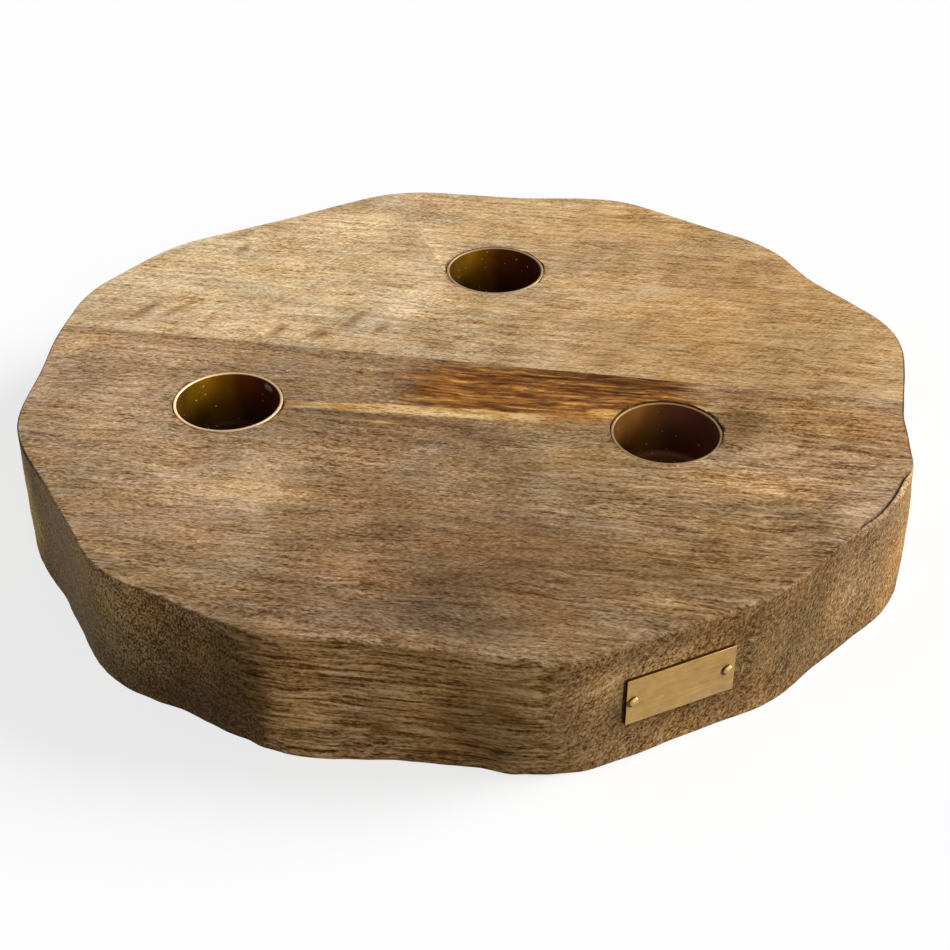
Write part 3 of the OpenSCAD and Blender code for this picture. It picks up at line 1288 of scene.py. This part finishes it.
    def _tear_mouths(self, bm: bmesh.types.BMesh) -> None:
        """Eases the mouth of each socket: fibres lean in over the free space, and some are torn out by the drill.

        Args:
            bm: The plank.
        """
        mouths = [
            e for e in bm.edges
            if len(e.link_faces) == 2
            and max(f.normal.z for f in e.link_faces) > 0.99
            and min(abs(f.normal.z) for f in e.link_faces) < 0.1
            and not any(self._on_seam(f) or self._is_wall(f) for f in e.link_faces)
            and e.verts[0].co.z > self.top - 0.1 * MM
        ]
        eased = bevel(bm, mouths, self.mouth_ease, segments=1, clamp=True)
        bm.normal_update()
        middles = [Vector((x * MM, y * MM)) for x, y in self.finish.sockets]
        for vert in eased:
            if vert.co.z < self.top - 0.01 * MM:
                continue
            middle = min(middles, key=lambda m: (vert.co.xy - m).length)
            out = (vert.co.xy - middle).normalized()
            rough = noise.noise(Vector((out.x * 3, out.y * 3, middle.x / MM)))
            rough += 0.4 * noise.noise(vert.co / self.tear_length)
            torn = smooth(0.08, 0.6, rough) * (0.4 + 0.6 * abs(out.x))
            vert.co.xy += out * ((self.tear + self.lip) * torn - self.lip)

    @staticmethod
    def _around(table: Table, degrees: float) -> float:
        """Reads a table that goes around the board.

        Args:
            table: Angles and values, in rising order.
            degrees: The angle.

        Returns:
            The value there, eased between the angles of the table.
        """
        for (a, low), (b, high) in zip(table, table[1:]):
            if a <= degrees <= b:
                return low + (high - low) * smooth(a, b, degrees)
        return 0.0

    @staticmethod
    def _window(span: Sequence[float], degrees: float) -> float:
        """Returns 1 between the two middle angles of a span, eased to 0 at its ends."""
        return smooth(span[0], span[1], degrees) * smooth(span[3], span[2], degrees)

    def _round(self, depth: float, radius: float, cracked: float = 0.0) -> Pair:
        """Turns the sanded flat along an edge into a round, or into a crack with a splinter beside it.

        Args:
            depth: Distance of a point from the face that the edge ends.
            radius: Radius of the round.
            cracked: How far the crack takes the round's place, from 0 to 1.

        Returns:
            How far the point moves inwards and away from that face.
        """
        if depth > 0.999 * self.arris:
            edge = radius + (self.crack_drop[-1][1] * MM - radius) * cracked
            return 0.0, (edge - self.arris) * (1 - smooth(self.arris, 6 * self.arris, depth))
        turn = depth / self.arris * math.pi / 2
        inset, drop = radius * (1 - math.sin(turn)), radius * (1 - math.cos(turn))
        inset += (self._around(self.crack_inset, depth / self.arris) * MM - inset) * cracked
        drop += (self._around(self.crack_drop, depth / self.arris) * MM - drop) * cracked
        return inset - (self.arris - depth), drop - depth

    def _hew(self, bm: bmesh.types.BMesh, walls: Set[bmesh.types.BMVert]) -> None:
        """Waves and roughens the wall, flares its foot, wears its upper edge and keeps its lower one crisp.

        It also paints shade along both edges and in the crack, in the split layer.

        Args:
            bm: The plank.
            walls: Corners of its wall.
        """
        split = bm.verts.layers.float["split"]
        plate, plate_half, plate_end = self.plate_clear
        for vert in walls:
            degrees = math.degrees(math.atan2(vert.co.y, vert.co.x)) % 360
            out = vert.co.xy.normalized()
            clear = smooth(plate_half, plate_end, abs(degrees - plate))
            level = vert.co.z
            under = self.top - level
            foot = max(0.0, 1 - level / self.foot_reach) ** 1.5 * self._around(self.foot_flare, degrees) * MM
            slow, quick = (noise.noise(vert.co / length) for length in self.wave_lengths)
            wave = (slow + 0.3 * quick) * self.wave * clear * (1 - 0.8 * smooth(*self.wave_calm, level))
            rough = noise.noise(vert.co / self.rough_length) * self.rough * clear * smooth(0.0, 2 * MM, under)
            flat = Vector((vert.co.x, vert.co.y, 0)) / self.wear_length
            worn = self.arris * self._around(self.arris_wear, degrees) * (1 + 0.3 * noise.noise(flat))
            cracked = self._window(self.crack, degrees)
            upper = self._round(under, worn, cracked)
            # The split layer: the pale splinter, painted shade in the crack and painted shade along the upper edge
            if under < 1.5 * self.arris:
                pale = self._window(self.splinter, degrees) * smooth(0.2, 0.4, under / self.arris)
                vert[split] = pale - cracked * (1 - smooth(0, 0.15, abs(under / self.arris - 0.2)))
                vert[split] -= self._around(self.edge_shade, degrees) * smooth(0.0, 0.35, under / self.arris)
            # Painted shade along the foot, where the wall meets the floor
            vert[split] -= self._around(self.foot_shade, degrees) * smooth(1.5 * self.arris, 0.4 * self.arris, level)
            lower = self._round(level, self.arris * self.foot_wear * (1 + 0.5 * noise.noise(flat * 1.7)))
            swell, brim = (self._around(table, degrees) * MM * clear for table in (self.swell, self.brim))
            swell += (brim - swell) * smooth(self.brim_from, self.top, level)
            ragged = self.crack_ragged * cracked * noise.noise(flat * 6) * smooth(self.arris, 0.0, under)
            vert.co.xy += out * (foot + wave + rough + swell + ragged - upper[0] - lower[0])
            vert.co.z += lower[1] - upper[1]


@dataclass
class CandleCup:
    """A drawn cup: one spun shell with a rounded rim and a bent foot."""

    place: CupPlace
    finish: CupFinish
    wall: float = 0.7 * MM
    bend: float = 1.5 * MM
    rim_round: float = 0.3 * MM
    round_segments: int = 6
    tall: float = 5 * MM
    wall_cuts: int = 6
    steps: int = 128

    def build(self, patterns: Patterns) -> bpy.types.Object:
        """Builds and dresses the cup.

        Args:
            patterns: The shared groups.

        Returns:
            The finished piece.
        """
        low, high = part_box(self.place.value)
        middle = box_middle(self.place.value)
        radius, height = (high[0] - low[0]) / 2, high[2] - low[2]
        inner = radius - self.wall
        bm = bmesh.new()
        _, foot, outer_rim, inner_rim, corner, _ = draw_section(bm, (
            (0.0, 0.0), (radius, 0.0), (radius, height), (inner, height), (inner, self.wall), (0.0, self.wall)))
        for vert, size in (
            (foot, self.bend + self.wall), (corner, self.bend), (outer_rim, self.rim_round), (inner_rim, self.rim_round)
        ):
            bevel(bm, [vert], size, self.round_segments, "VERTICES")
        tall = [e for e in bm.edges if abs(e.verts[0].co.z - e.verts[1].co.z) > self.tall]
        bmesh.ops.subdivide_edges(bm, edges=tall, cuts=self.wall_cuts)
        depth = bm.verts.layers.float.new("depth")
        for vert in bm.verts:
            vert[depth] = (height - vert.co.z) / MM
        spin_section(bm, self.steps)
        bmesh.ops.translate(bm, verts=bm.verts, vec=(middle.x, middle.y, low[2]))
        piece = make_piece(bm, f"{self.place.value}_brass", sharp_degrees=60)
        return dress(piece, self.finish.build(patterns, middle), self.place.value, self.place.body)


@dataclass
class NamePlate:
    """The bare brass plate and its two domed pins on the front right face."""

    plate_finish: SheetFinish
    pin_finish: SheetFinish
    edge: float = 0.1 * MM
    head: Pair = (1.1 * MM, 0.7 * MM)
    head_edge: float = 0.12 * MM
    shank: Pair = (0.6 * MM, 8 * MM)
    dome_steps: int = 8
    steps: int = 40
    # How far each painted pin shadow sits to the left of its pin
    pin_shadow_shift: float = 0.55 * MM
    out: Vector = field(init=False)
    turn: float = field(init=False)

    def __post_init__(self) -> None:
        """Reads the plate's facing from its CAD solid."""
        broad = max(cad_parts["name_plate"].data.polygons, key=lambda p: p.area)
        out = Vector(broad.normal)
        self.out = out if out.dot(box_middle("name_plate")) > 0 else -out
        self.turn = math.atan2(self.out.x, -self.out.y)

    def build(self, patterns: Patterns) -> List[bpy.types.Object]:
        """Builds and dresses the plate and its pins.

        Args:
            patterns: The shared groups.

        Returns:
            The finished pieces.
        """
        left = Vector((self.out.y, -self.out.x, 0.0))
        # Painted shadows: dark spots on the plate just left of each pin's head
        pin_shadows = tuple(tuple((self._seat(place) + left * self.pin_shadow_shift) / MM) for place in PinPlace)
        plate_brass = replace(self.plate_finish, turn=self.turn, pin_shadows=pin_shadows).build(patterns)
        pin_brass = replace(self.pin_finish, turn=self.turn).build(patterns)
        return [self._plate(plate_brass), *(self._pin(place, pin_brass) for place in PinPlace)]

    def _plate(self, material: bpy.types.Material) -> bpy.types.Object:
        """Makes the plate: its CAD solid with snipped, softened edges.

        Args:
            material: Its finish.

        Returns:
            The finished piece.
        """
        bm = merged_copy("name_plate")
        crisp = [e for e in bm.edges if len(e.link_faces) == 2 and e.calc_face_angle() > math.radians(60)]
        bevel(bm, crisp, self.edge, segments=2)
        bm.normal_update()
        piece = make_piece(bm, "name_plate_sheet", sharp_degrees=35)
        return dress(piece, material, "name_plate", "board")

    def _seat(self, place: PinPlace) -> Vector:
        """Finds the place on the plate's face where a pin's head sits.

        Args:
            place: Which pin.

        Returns:
            The middle of the head's underside.
        """
        verts = [Vector(v.co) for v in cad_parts[place.value].data.vertices]
        tip = max(v.dot(self.out) for v in verts)
        centre = sum(verts, Vector()) / len(verts)
        return centre + self.out * (tip - self.head[1] - centre.dot(self.out))

    def _pin(self, place: PinPlace, material: bpy.types.Material) -> bpy.types.Object:
        """Makes one pin: a spun dome with a rolled edge on its shank.

        Args:
            place: Which pin.
            material: Its finish.

        Returns:
            The finished piece.
        """
        bm = bmesh.new()
        radius, rise = self.head
        thin, long = self.shank
        dome = (rise * rise + radius * radius) / (2 * rise)
        spread = math.asin(radius / dome)
        turns = [spread * i / self.dome_steps for i in range(self.dome_steps + 1)]
        arc = [(dome * math.sin(turn), rise - dome + dome * math.cos(turn)) for turn in turns]
        line = draw_section(bm, [*arc, (thin, 0.0), (thin, -long), (0.0, -long)])
        bevel(bm, [line[self.dome_steps]], self.head_edge, 3, "VERTICES")
        spin_section(bm, self.steps)
        facing = self.out.to_track_quat("Z", "Y").to_matrix().to_4x4()
        bmesh.ops.transform(bm, matrix=Matrix.Translation(self._seat(place)) @ facing, verts=bm.verts)
        piece = make_piece(bm, f"{place.value}_head", sharp_degrees=50)
        return dress(piece, material, place.value, "board")


@dataclass
class Studio:
    """Camera, pale floor and soft light."""

    camera_at: Place = (59.84 * MM, -328.91 * MM, 236.8 * MM)
    camera_to: Place = (8.48 * MM, -37.65 * MM, 28.0 * MM)
    lens: float = 65.52
    sensor: float = 36.0
    floor_side: float = 6.0
    floor_drop: float = 0.05 * MM
    sky: float = 0.2
    key: float = 1.42
    key_from: Place = (0.82, 0.40, 0.5)
    lamp_angle: float = 30
    fill: float = 0.2
    fill_from: Place = (0.5, -0.8, 0.4)
    floor_glow: float = 0.75
    floor_bounce: float = 0.35

    def build(self) -> None:
        """Sets the stage."""
        self._camera()
        self._sky()
        self._lamp("key_lamp", self.key, self.key_from)
        self._lamp("fill_lamp", self.fill, self.fill_from)
        self._floor()
        bpy.context.scene.view_settings.view_transform = "Standard"

    def _camera(self) -> None:
        """Places the camera at the photograph's angle and makes it the scene's own."""
        data = bpy.data.cameras.new("camera")
        data.lens = self.lens
        data.sensor_width = self.sensor
        camera = bpy.data.objects.new("camera", data)
        camera.location = self.camera_at
        camera.rotation_euler = (Vector(self.camera_to) - Vector(self.camera_at)).to_track_quat("-Z", "Y").to_euler()
        bpy.context.scene.collection.objects.link(camera)
        bpy.context.scene.camera = camera

    @staticmethod
    def _seen(w: NodeWriter) -> Socket:
        """Masks the rays that show the background: to the camera, by mirror or through glass.

        Args:
            w: Writer of the world or the floor.

        Returns:
            1 on such a ray, 0 on any other.
        """
        path = w.node("ShaderNodeLightPath").outputs
        seen = w.math("MAXIMUM", path["Is Camera Ray"], path["Is Glossy Ray"])
        return w.math("MAXIMUM", seen, path["Is Transmission Ray"])

    def _sky(self) -> None:
        """Lights the room evenly, and shows white to the camera and in the brass."""
        world = bpy.data.worlds.new("studio")
        bpy.context.scene.world = world
        w = blank_nodes(world)
        strength = w.math("ADD", w.math("MULTIPLY", self._seen(w), 1 - self.sky), self.sky)
        sky = w.node("ShaderNodeBackground", {"Color": WHITE, "Strength": strength})
        w.feed(w.node("ShaderNodeOutputWorld").inputs["Surface"], sky.outputs[0])

    def _lamp(self, name: str, strength: float, source: Place) -> None:
        """Adds one far soft lamp.

        Args:
            name: Name of the lamp.
            strength: Light on a face square to it, where 1 shows a colour as it is written.
            source: Direction that the light comes from.
        """
        data = bpy.data.lights.new(name, "SUN")
        data.energy = strength * math.pi
        data.angle = math.radians(self.lamp_angle)
        lamp = bpy.data.objects.new(name, data)
        lamp.rotation_euler = Vector(source).to_track_quat("Z", "Y").to_euler()
        bpy.context.scene.collection.objects.link(lamp)

    def _floor(self) -> None:
        """Lays the pale floor, which shows the board's shadow."""
        bm = bmesh.new()
        bmesh.ops.create_grid(bm, x_segments=1, y_segments=1, size=self.floor_side / 2)
        bmesh.ops.translate(bm, verts=bm.verts, vec=(0, 0, -self.floor_drop))
        floor = make_piece(bm, "floor")
        material = bpy.data.materials.new("pale_floor")
        w = blank_nodes(material)
        plain = w.node("ShaderNodeBsdfDiffuse", {"Color": (self.floor_bounce,) * 3})
        pale = w.node("ShaderNodeBsdfDiffuse", {"Color": WHITE})
        glow = w.node("ShaderNodeEmission", {"Color": WHITE, "Strength": 1.0})
        shown = w.node("ShaderNodeMixShader", {"Fac": self.floor_glow})
        w.feed(shown.inputs[1], pale.outputs[0])
        w.feed(shown.inputs[2], glow.outputs[0])
        both = w.node("ShaderNodeMixShader", {"Fac": self._seen(w)})
        w.feed(both.inputs[1], plain.outputs[0])
        w.feed(both.inputs[2], shown.outputs[0])
        w.feed(w.node("ShaderNodeOutputMaterial").inputs["Surface"], both.outputs[0])
        floor.data.materials.append(material)


# Patches of the front plank that reach through it and show on its top: partly its own tone, partly painted light and
# grey painted sheen that make the top lighter towards the left and darker towards the front
FRONT_TOP = (
    # Left of the middle: mostly painted light and grey painted sheen
    Tint((-82, -24), (45, 36), (1.50, 1.54, 1.64)),
    Tint((-95, -4), (14, 26), (1.18, 1.18, 1.18)),
    Tint((-42, -50), (34, 16), (1.66, 1.68, 1.70)),
    Tint((-24, -37), (22, 10), (1.36, 1.35, 1.35)),
    Tint((-52, -65), (24, 10), (1.28, 1.22, 1.28)),
    Tint((-40, 0), (28, 6), (0.96, 0.95, 0.98)),
    Tint((-28, 0), (26, 6), (1.15, 1.15, 1.15)),
    Tint((-66, -4), (24, 6), (1.14, 1.14, 1.14)),
    Tint((-36, -46), (20, 8), (0.90, 0.91, 0.90)),
    Tint((-60, -36), (10, 6), (1.18, 1.18, 1.16)),
    Tint((-45, -66), (9, 6), (1.16, 1.16, 1.13)),
    Tint((-62, -66), (9, 6), (0.85, 0.86, 0.85)),
    Tint((-80, 0), (46, 9), (1.44, 1.44, 1.44)),
    # Middle
    Tint((-15, -57), (13, 10), (1.30, 1.32, 1.38)),
    Tint((-12, -73), (16, 9), (1.08, 0.98, 0.95)),
    Tint((0, -58), (40, 26), (0.82, 0.74, 0.68)),
    Tint((-10, -26), (46, 11), (0.87, 0.83, 0.84)),
    Tint((-8, -84), (40, 16), (0.78, 0.74, 0.76)),
    Tint((28, -69), (42, 30), (0.68, 0.60, 0.51)),
    Tint((24, -66), (9, 26), (0.84, 0.79, 0.75)),
    Tint((8, -76), (20, 11), (0.70, 0.69, 0.68)),
    Tint((22, -87), (13, 8), (0.72, 0.68, 0.62), drift=0.4),
    Tint((15, -38), (11, 9), (0.80, 0.75, 0.68)),
    Tint((19, -35), (16, 14), (0.83, 0.84, 0.91)),
    Tint((-15, -15), (14, 5), (1.16, 1.15, 1.12)),
    Tint((-15, -65), (9, 5), (1.14, 1.14, 1.10)),
    Tint((30, -28), (34, 24), (1.0, 0.96, 0.80)),
    Tint((22, -15), (24, 6), (0.98, 0.93, 0.74)),
    Tint((0, -19.5), (34, 3.2), (0.86, 0.74, 0.68), turn=4),
    # Right of the middle
    Tint((41, -87), (12, 8), (0.84, 0.82, 0.74), drift=0.4),
    Tint((48, -62), (17, 14), (0.80, 0.81, 0.73)),
    Tint((66, -50), (27, 23), (0.75, 0.75, 0.71)),
    Tint((60, -66), (13, 8), (0.76, 0.76, 0.72)),
    Tint((60, -45), (12, 6), (1.26, 1.25, 1.20)),
    Tint((40, -46), (24, 5), (1.18, 1.18, 1.13)),
    Tint((80, -40), (11, 13), (0.82, 0.82, 0.79)),
    Tint((50, -72), (9, 6), (1.12, 1.18, 1.14)),
    Tint((66, -29), (26, 12), (1.28, 1.19, 1.06)),
    Tint((62, -56), (32, 36), (0.95, 0.87, 0.72)),
    Tint((75, -5), (34, 18), (1.38, 1.24, 0.94)),
    Tint((63, -9), (11, 12), (0.53, 0.50, 0.44), drift=0.4),
    Tint((88, -27), (9, 8), (0.84, 0.82, 0.78)),
    Tint((92, -6), (16, 22), (1.0, 0.90, 0.76)),
    Tint((66, 3.5), (22, 3.5), (0.74, 0.66, 0.58)),
    Tint((86, -23.6), (1.3, 0.8), (0.32, 0.26, 0.22), core=0.3, drift=0.0),
)
# Patches of its walls and of the edge of its top, mostly painted light and shade that stand in for how each face is lit
FRONT_WALLS = (
    # Left faces: painted light that lifts these shaded faces, and painted shade lower down and in patches
    Tint((-38, -90), (16, 10), (0.82, 0.82, 0.82), levels=(24, 8)),
    Tint((-90, -42), (14, 26), (1.60, 1.76, 1.60), levels=(9, 18)),
    Tint((-97, -24), (20, 38), (2.05, 2.2, 2.0), levels=(12.5, 15.6), core=0.4, square=3),
    Tint((-60, -80), (22, 20), (1.0, 1.10, 1.06), levels=(9, 18)),
    Tint((-58, -80), (26, 20), (1.42, 1.42, 1.38), levels=(23, 9)),
    Tint((-55, -84), (34, 18), (0.72, 0.70, 0.66), levels=(1, 10)),
    Tint((-46, -90), (24, 14), (0.62, 0.62, 0.54), levels=(3, 12)),
    Tint((-36, -94), (18, 12), (0.58, 0.55, 0.46), levels=(10, 22), core=0.3, drift=0.4),
    Tint((-28, -95), (7.5, 12), (0.62, 0.60, 0.55), levels=(10, 22), core=0.6, square=4, drift=0.4),
    # Front face: patches lighter and darker, partly its own tone and partly painted light and shade, with painted light
    # at the foot
    Tint((-22, -90), (8, 9), (1.25, 1.25, 1.27), levels=(30, 8)),
    Tint((12, -86), (18, 12), (0.82, 0.82, 0.82), levels=(27, 14)),
    Tint((-10, -97), (13, 8), (1.34, 1.36, 1.42), levels=(12, 22), core=0.5, square=4, drift=0.4),
    Tint((8, -97), (12, 8), (1.20, 1.15, 1.05), levels=(12, 20)),
    Tint((20, -96), (14, 9), (0.60, 0.54, 0.44), levels=(11, 18), core=0.25),
    Tint((0, -98), (36, 12), (1.35, 1.33, 1.3), levels=(0, 5)),
    Tint((0, -96), (3.4, 5), (0.66, 0.52, 0.40), levels=(8, 4.5), core=0.0, drift=0.2),
    # Right faces, with the plate's: mostly painted light on these faces and at their foot, and the plate's painted
    # shadow
    Tint((56, -85), (40, 20), (2.0, 2.05, 2.2), levels=(19, 8.5)),
    Tint((62, -78), (46, 30), (1.45, 1.45, 1.5), levels=(0, 9)),
    Tint((40, -90), (16, 14), (1.18, 1.18, 1.20), levels=(10, 15)),
    Tint((86, -43), (14, 16), (1.3, 1.29, 1.27), levels=(14, 13)),
    Tint((80, -58), (26, 30), (1.0, 1.06, 1.15), levels=(12, 16)),
    # Painted shadow of the plate on the wall beside its left end
    Tint((46.0, -86.3), (0.9, 1.4), (0.13, 0.10, 0.07), turn=35.7, levels=(14.2, 6.0), core=0.8, square=8, drift=0.0),
    Tint((98, -24), (14, 26), (1.44, 1.38, 1.2), levels=(12, 18)),
)
# Broad tones of the back plank, partly its own and partly painted light on its far-left wall and the left of its top,
# and the small dark smudges on its top
BACK_TONES = (
    # Painted light on the shaded far-left wall
    Tint((-96, 4), (22, 36), (1.75, 1.85, 1.7), levels=(12.5, 15.6), core=0.1),
    Tint((60, 40), (90, 70), (0.88, 0.74, 0.55), core=0.2),
    Tint((78, 28), (26, 26), (0.94, 1.0, 1.05)),
    Tint((20, 85), (60, 20), (1.06, 0.95, 0.76)),
    Tint((22, 24), (28, 11), (1.0, 1.02, 1.04)),
    Tint((28, 14), (12, 6), (0.80, 0.78, 0.75)),
    Tint((34, 44), (38, 16), (1.24, 1.29, 1.38)),
    Tint((38, 50), (38, 16), (1.03, 1.05, 1.12)),
    Tint((-36, 48), (24, 10), (1.10, 1.10, 1.08)),
    Tint((-42, 66), (22, 16), (1.14, 1.13, 1.12)),
    Tint((-4, 70), (22, 10), (1.05, 0.97, 0.80)),
    Tint((-24, 30), (30, 14), (1.12, 1.13, 1.14)),
    Tint((64, 64), (14, 8), (0.82, 0.82, 0.82)),
    # Painted light on the left of the top
    Tint((-70, 40), (60, 50), (1.38, 1.41, 1.42)),
    Tint((-22, 50), (24, 18), (1.12, 1.12, 1.08)),
    Tint((-16, 33), (14, 17), (1.25, 1.27, 1.30)),
    Tint((-38, 69), (20, 13), (1.26, 1.27, 1.24)),
    Tint((-50, 12), (40, 8), (1.18, 1.16, 1.16)),
)
BACK_SMUDGES = (
    Tint((73.9, 25.2), (1.7, 0.8), (0.45, 0.36, 0.30), turn=-20, core=0.3, drift=0.0),
    Tint((-82, 17), (2.6, 8), (0.54, 0.46, 0.40), turn=-26, drift=0.2),
    Tint((-75, 18), (2.0, 7), (0.66, 0.58, 0.52), turn=-26, drift=0.2),
    Tint((-66, 15), (1.8, 5), (0.74, 0.68, 0.62), turn=-22, drift=0.2),
    Tint((-48, 13), (2.6, 6), (0.56, 0.48, 0.41), turn=-22, drift=0.2),
    Tint((-38, 13), (3.6, 5), (0.56, 0.47, 0.40), turn=-35, drift=0.2),
    Tint((-31, 21), (2.4, 9), (0.54, 0.46, 0.40), turn=-26, drift=0.2),
    Tint((-24, 18), (1.8, 6), (0.76, 0.68, 0.61), turn=-26, drift=0.2),
    Tint((-8, 13), (5.0, 4), (0.74, 0.66, 0.58), drift=0.2),
    Tint((-67.5, 51), (2.2, 6), (0.54, 0.47, 0.42), turn=-16, drift=0.2),
    Tint((-71, 58), (6.5, 2.8), (0.66, 0.60, 0.58), turn=22, drift=0.2),
)

FRONT_FINISH = PlankFinish(
    name="front_wood",
    slot="front_wood",
    stops=(
        (0.12, (0.085, 0.041, 0.011)),
        (0.42, (0.275, 0.166, 0.078)),
        (0.58, (0.385, 0.257, 0.145)),
        (0.88, (0.57, 0.42, 0.275)),
    ),
    pore_colour=(0.36, 0.27, 0.16),
    lean=0.02,
    sway=3.0,
    pith=(0.0, 260.0, -300.0),
    band_spacing=0.85,
    band_share=0.8,
    curl_pitch=16.0,
    curl_share=0.38,
    long_from=(5.0, 50.0),
    calm_from=(20.0, -50.0),
    calm=0.9,
    tints=FRONT_TOP + FRONT_WALLS,
    sockets=((-50.6, -19.3), (46.6, -14.2)),
    streak=HeartStreak(
        heart=(
            Tint((19, -3), (40, 13), (1.03, 0.97, 0.84), turn=5, core=0.62, square=4),
            Tint((32, 3.5), (26, 6), (0.54, 0.46, 0.36), turn=-1, core=0.25),
        ),
        heart_stops=(
            (0.34, (0.110, 0.040, 0.012)),
            (0.44, (0.185, 0.068, 0.016)),
            (0.54, (0.355, 0.152, 0.038)),
            (0.66, (0.70, 0.40, 0.115)),
        ),
        sapwood=(
            Tint((24, -12.6), (18, 2.6), (0.66, 0.48, 0.30), turn=4.3, core=0.1),
            Tint((34, -10.0), (7, 2.6), (1.02, 0.90, 0.58), turn=4.3, core=0.1),
            Tint((-4, -15.3), (29, 2.2), (1.0, 1.0, 1.0), turn=4.3, core=0.62, square=4),
            Tint((-25, -17.0), (16, 1.7), (1.05, 1.05, 1.08), turn=4.3, core=0.6, square=4),
            Tint((-16, -21.3), (10, 0.9), (0.88, 0.86, 0.85), turn=3, core=0.2),
        ),
        sapwood_stops=(
            (0.34, (0.46, 0.225, 0.062)),
            (0.47, (0.70, 0.445, 0.185)),
            (0.62, (0.84, 0.60, 0.31)),
        ),
    ),
)

BACK_FINISH = PlankFinish(
    name="back_wood",
    slot="back_wood",
    stops=(
        (0.12, (0.235, 0.136, 0.055)),
        (0.42, (0.495, 0.336, 0.169)),
        (0.58, (0.62, 0.455, 0.268)),
        (0.88, (0.80, 0.63, 0.43)),
    ),
    pore_colour=(0.50, 0.39, 0.27),
    lean=0.0,
    sway=2.4,
    pith=(0.0, -260.0, -300.0),
    band_spacing=0.9,
    band_share=0.8,
    curl_pitch=11.0,
    curl_share=0.4,
    long_from=(-60.0, 30.0),
    calm_from=(-10.0, 40.0),
    calm=0.88,
    golden=(1.05, 1.0, 0.93),
    greyed=(0.97, 0.99, 1.03),
    sanded_share=0.55,
    tints=BACK_TONES + BACK_SMUDGES,
    sockets=((-2.1, 51.4),),
    end_wall=(0.75, 0.66, 0.52),
)


# Colours around a cup's wall, by the share of a half turn from its right side to its left one: aged brass with painted
# light on its left side, towards the back, and painted shade on its right
OLIVE_BRASS_PAINTED_LIGHT = (
    (0.10, (0.050, 0.013, 0.004)),
    (0.33, (0.065, 0.014, 0.003)),
    (0.50, (0.095, 0.027, 0.002)),
    (0.61, (0.205, 0.082, 0.002)),
    (0.72, (0.245, 0.112, 0.002)),
    (0.83, (0.122, 0.057, 0.001)),
    (0.95, (0.062, 0.026, 0.001)),
)
BROWN_BRASS_PAINTED_LIGHT = (
    (0.10, (0.095, 0.034, 0.021)),
    (0.33, (0.110, 0.036, 0.022)),
    (0.50, (0.125, 0.045, 0.018)),
    (0.61, (0.225, 0.088, 0.020)),
    (0.72, (0.280, 0.110, 0.022)),
    (0.83, (0.142, 0.058, 0.011)),
    (0.95, (0.098, 0.040, 0.009)),
)
PLATE_FINISH = SheetFinish("plate_brass", bright=(0.53, 0.335, 0.115), dull=(0.35, 0.20, 0.062), roughness=0.38)
PIN_FINISH = SheetFinish("pin_brass", bright=(0.57, 0.37, 0.135), dull=(0.36, 0.21, 0.068), roughness=0.36)
# The floors' colours stand in for how lit each floor is: painted shade in the left and back cups, painted light in the
# right one
CUP_FINISHES = {
    CupPlace.LEFT: CupFinish(
        name="left_cup_brass",
        inside=OLIVE_BRASS_PAINTED_LIGHT,
        rim=(0.60, 0.41, 0.24),
        floor=(0.035, 0.008, 0.003),
        painted_rim_highlight=1.85,
        painted_glint=(-44.0, -10.0, 26.5),
    ),
    CupPlace.BACK: CupFinish(
        name="back_cup_brass", inside=OLIVE_BRASS_PAINTED_LIGHT, rim=(0.35, 0.245, 0.13), floor=(0.05, 0.016, 0.004)),
    CupPlace.RIGHT: CupFinish(
        name="right_cup_brass", inside=BROWN_BRASS_PAINTED_LIGHT, rim=(0.29, 0.185, 0.09), floor=(0.18, 0.075, 0.025)),
}


def main() -> None:
    """Builds the pieces in order and reports each."""
    logging.basicConfig(level=logging.INFO, format="%(message)s")
    patterns = Patterns()
    Studio().build()
    pieces = [
        HewnPlank(PlankSide.FRONT, FRONT_FINISH).build(patterns),
        HewnPlank(PlankSide.BACK, BACK_FINISH).build(patterns),
    ]
    pieces += [CandleCup(place, CUP_FINISHES[place]).build(patterns) for place in CupPlace]
    pieces += NamePlate(PLATE_FINISH, PIN_FINISH).build(patterns)
    for piece in pieces:
        log.info("%s: %d faces", piece.name, len(piece.data.polygons))


if __name__ == "__main__":
    main()
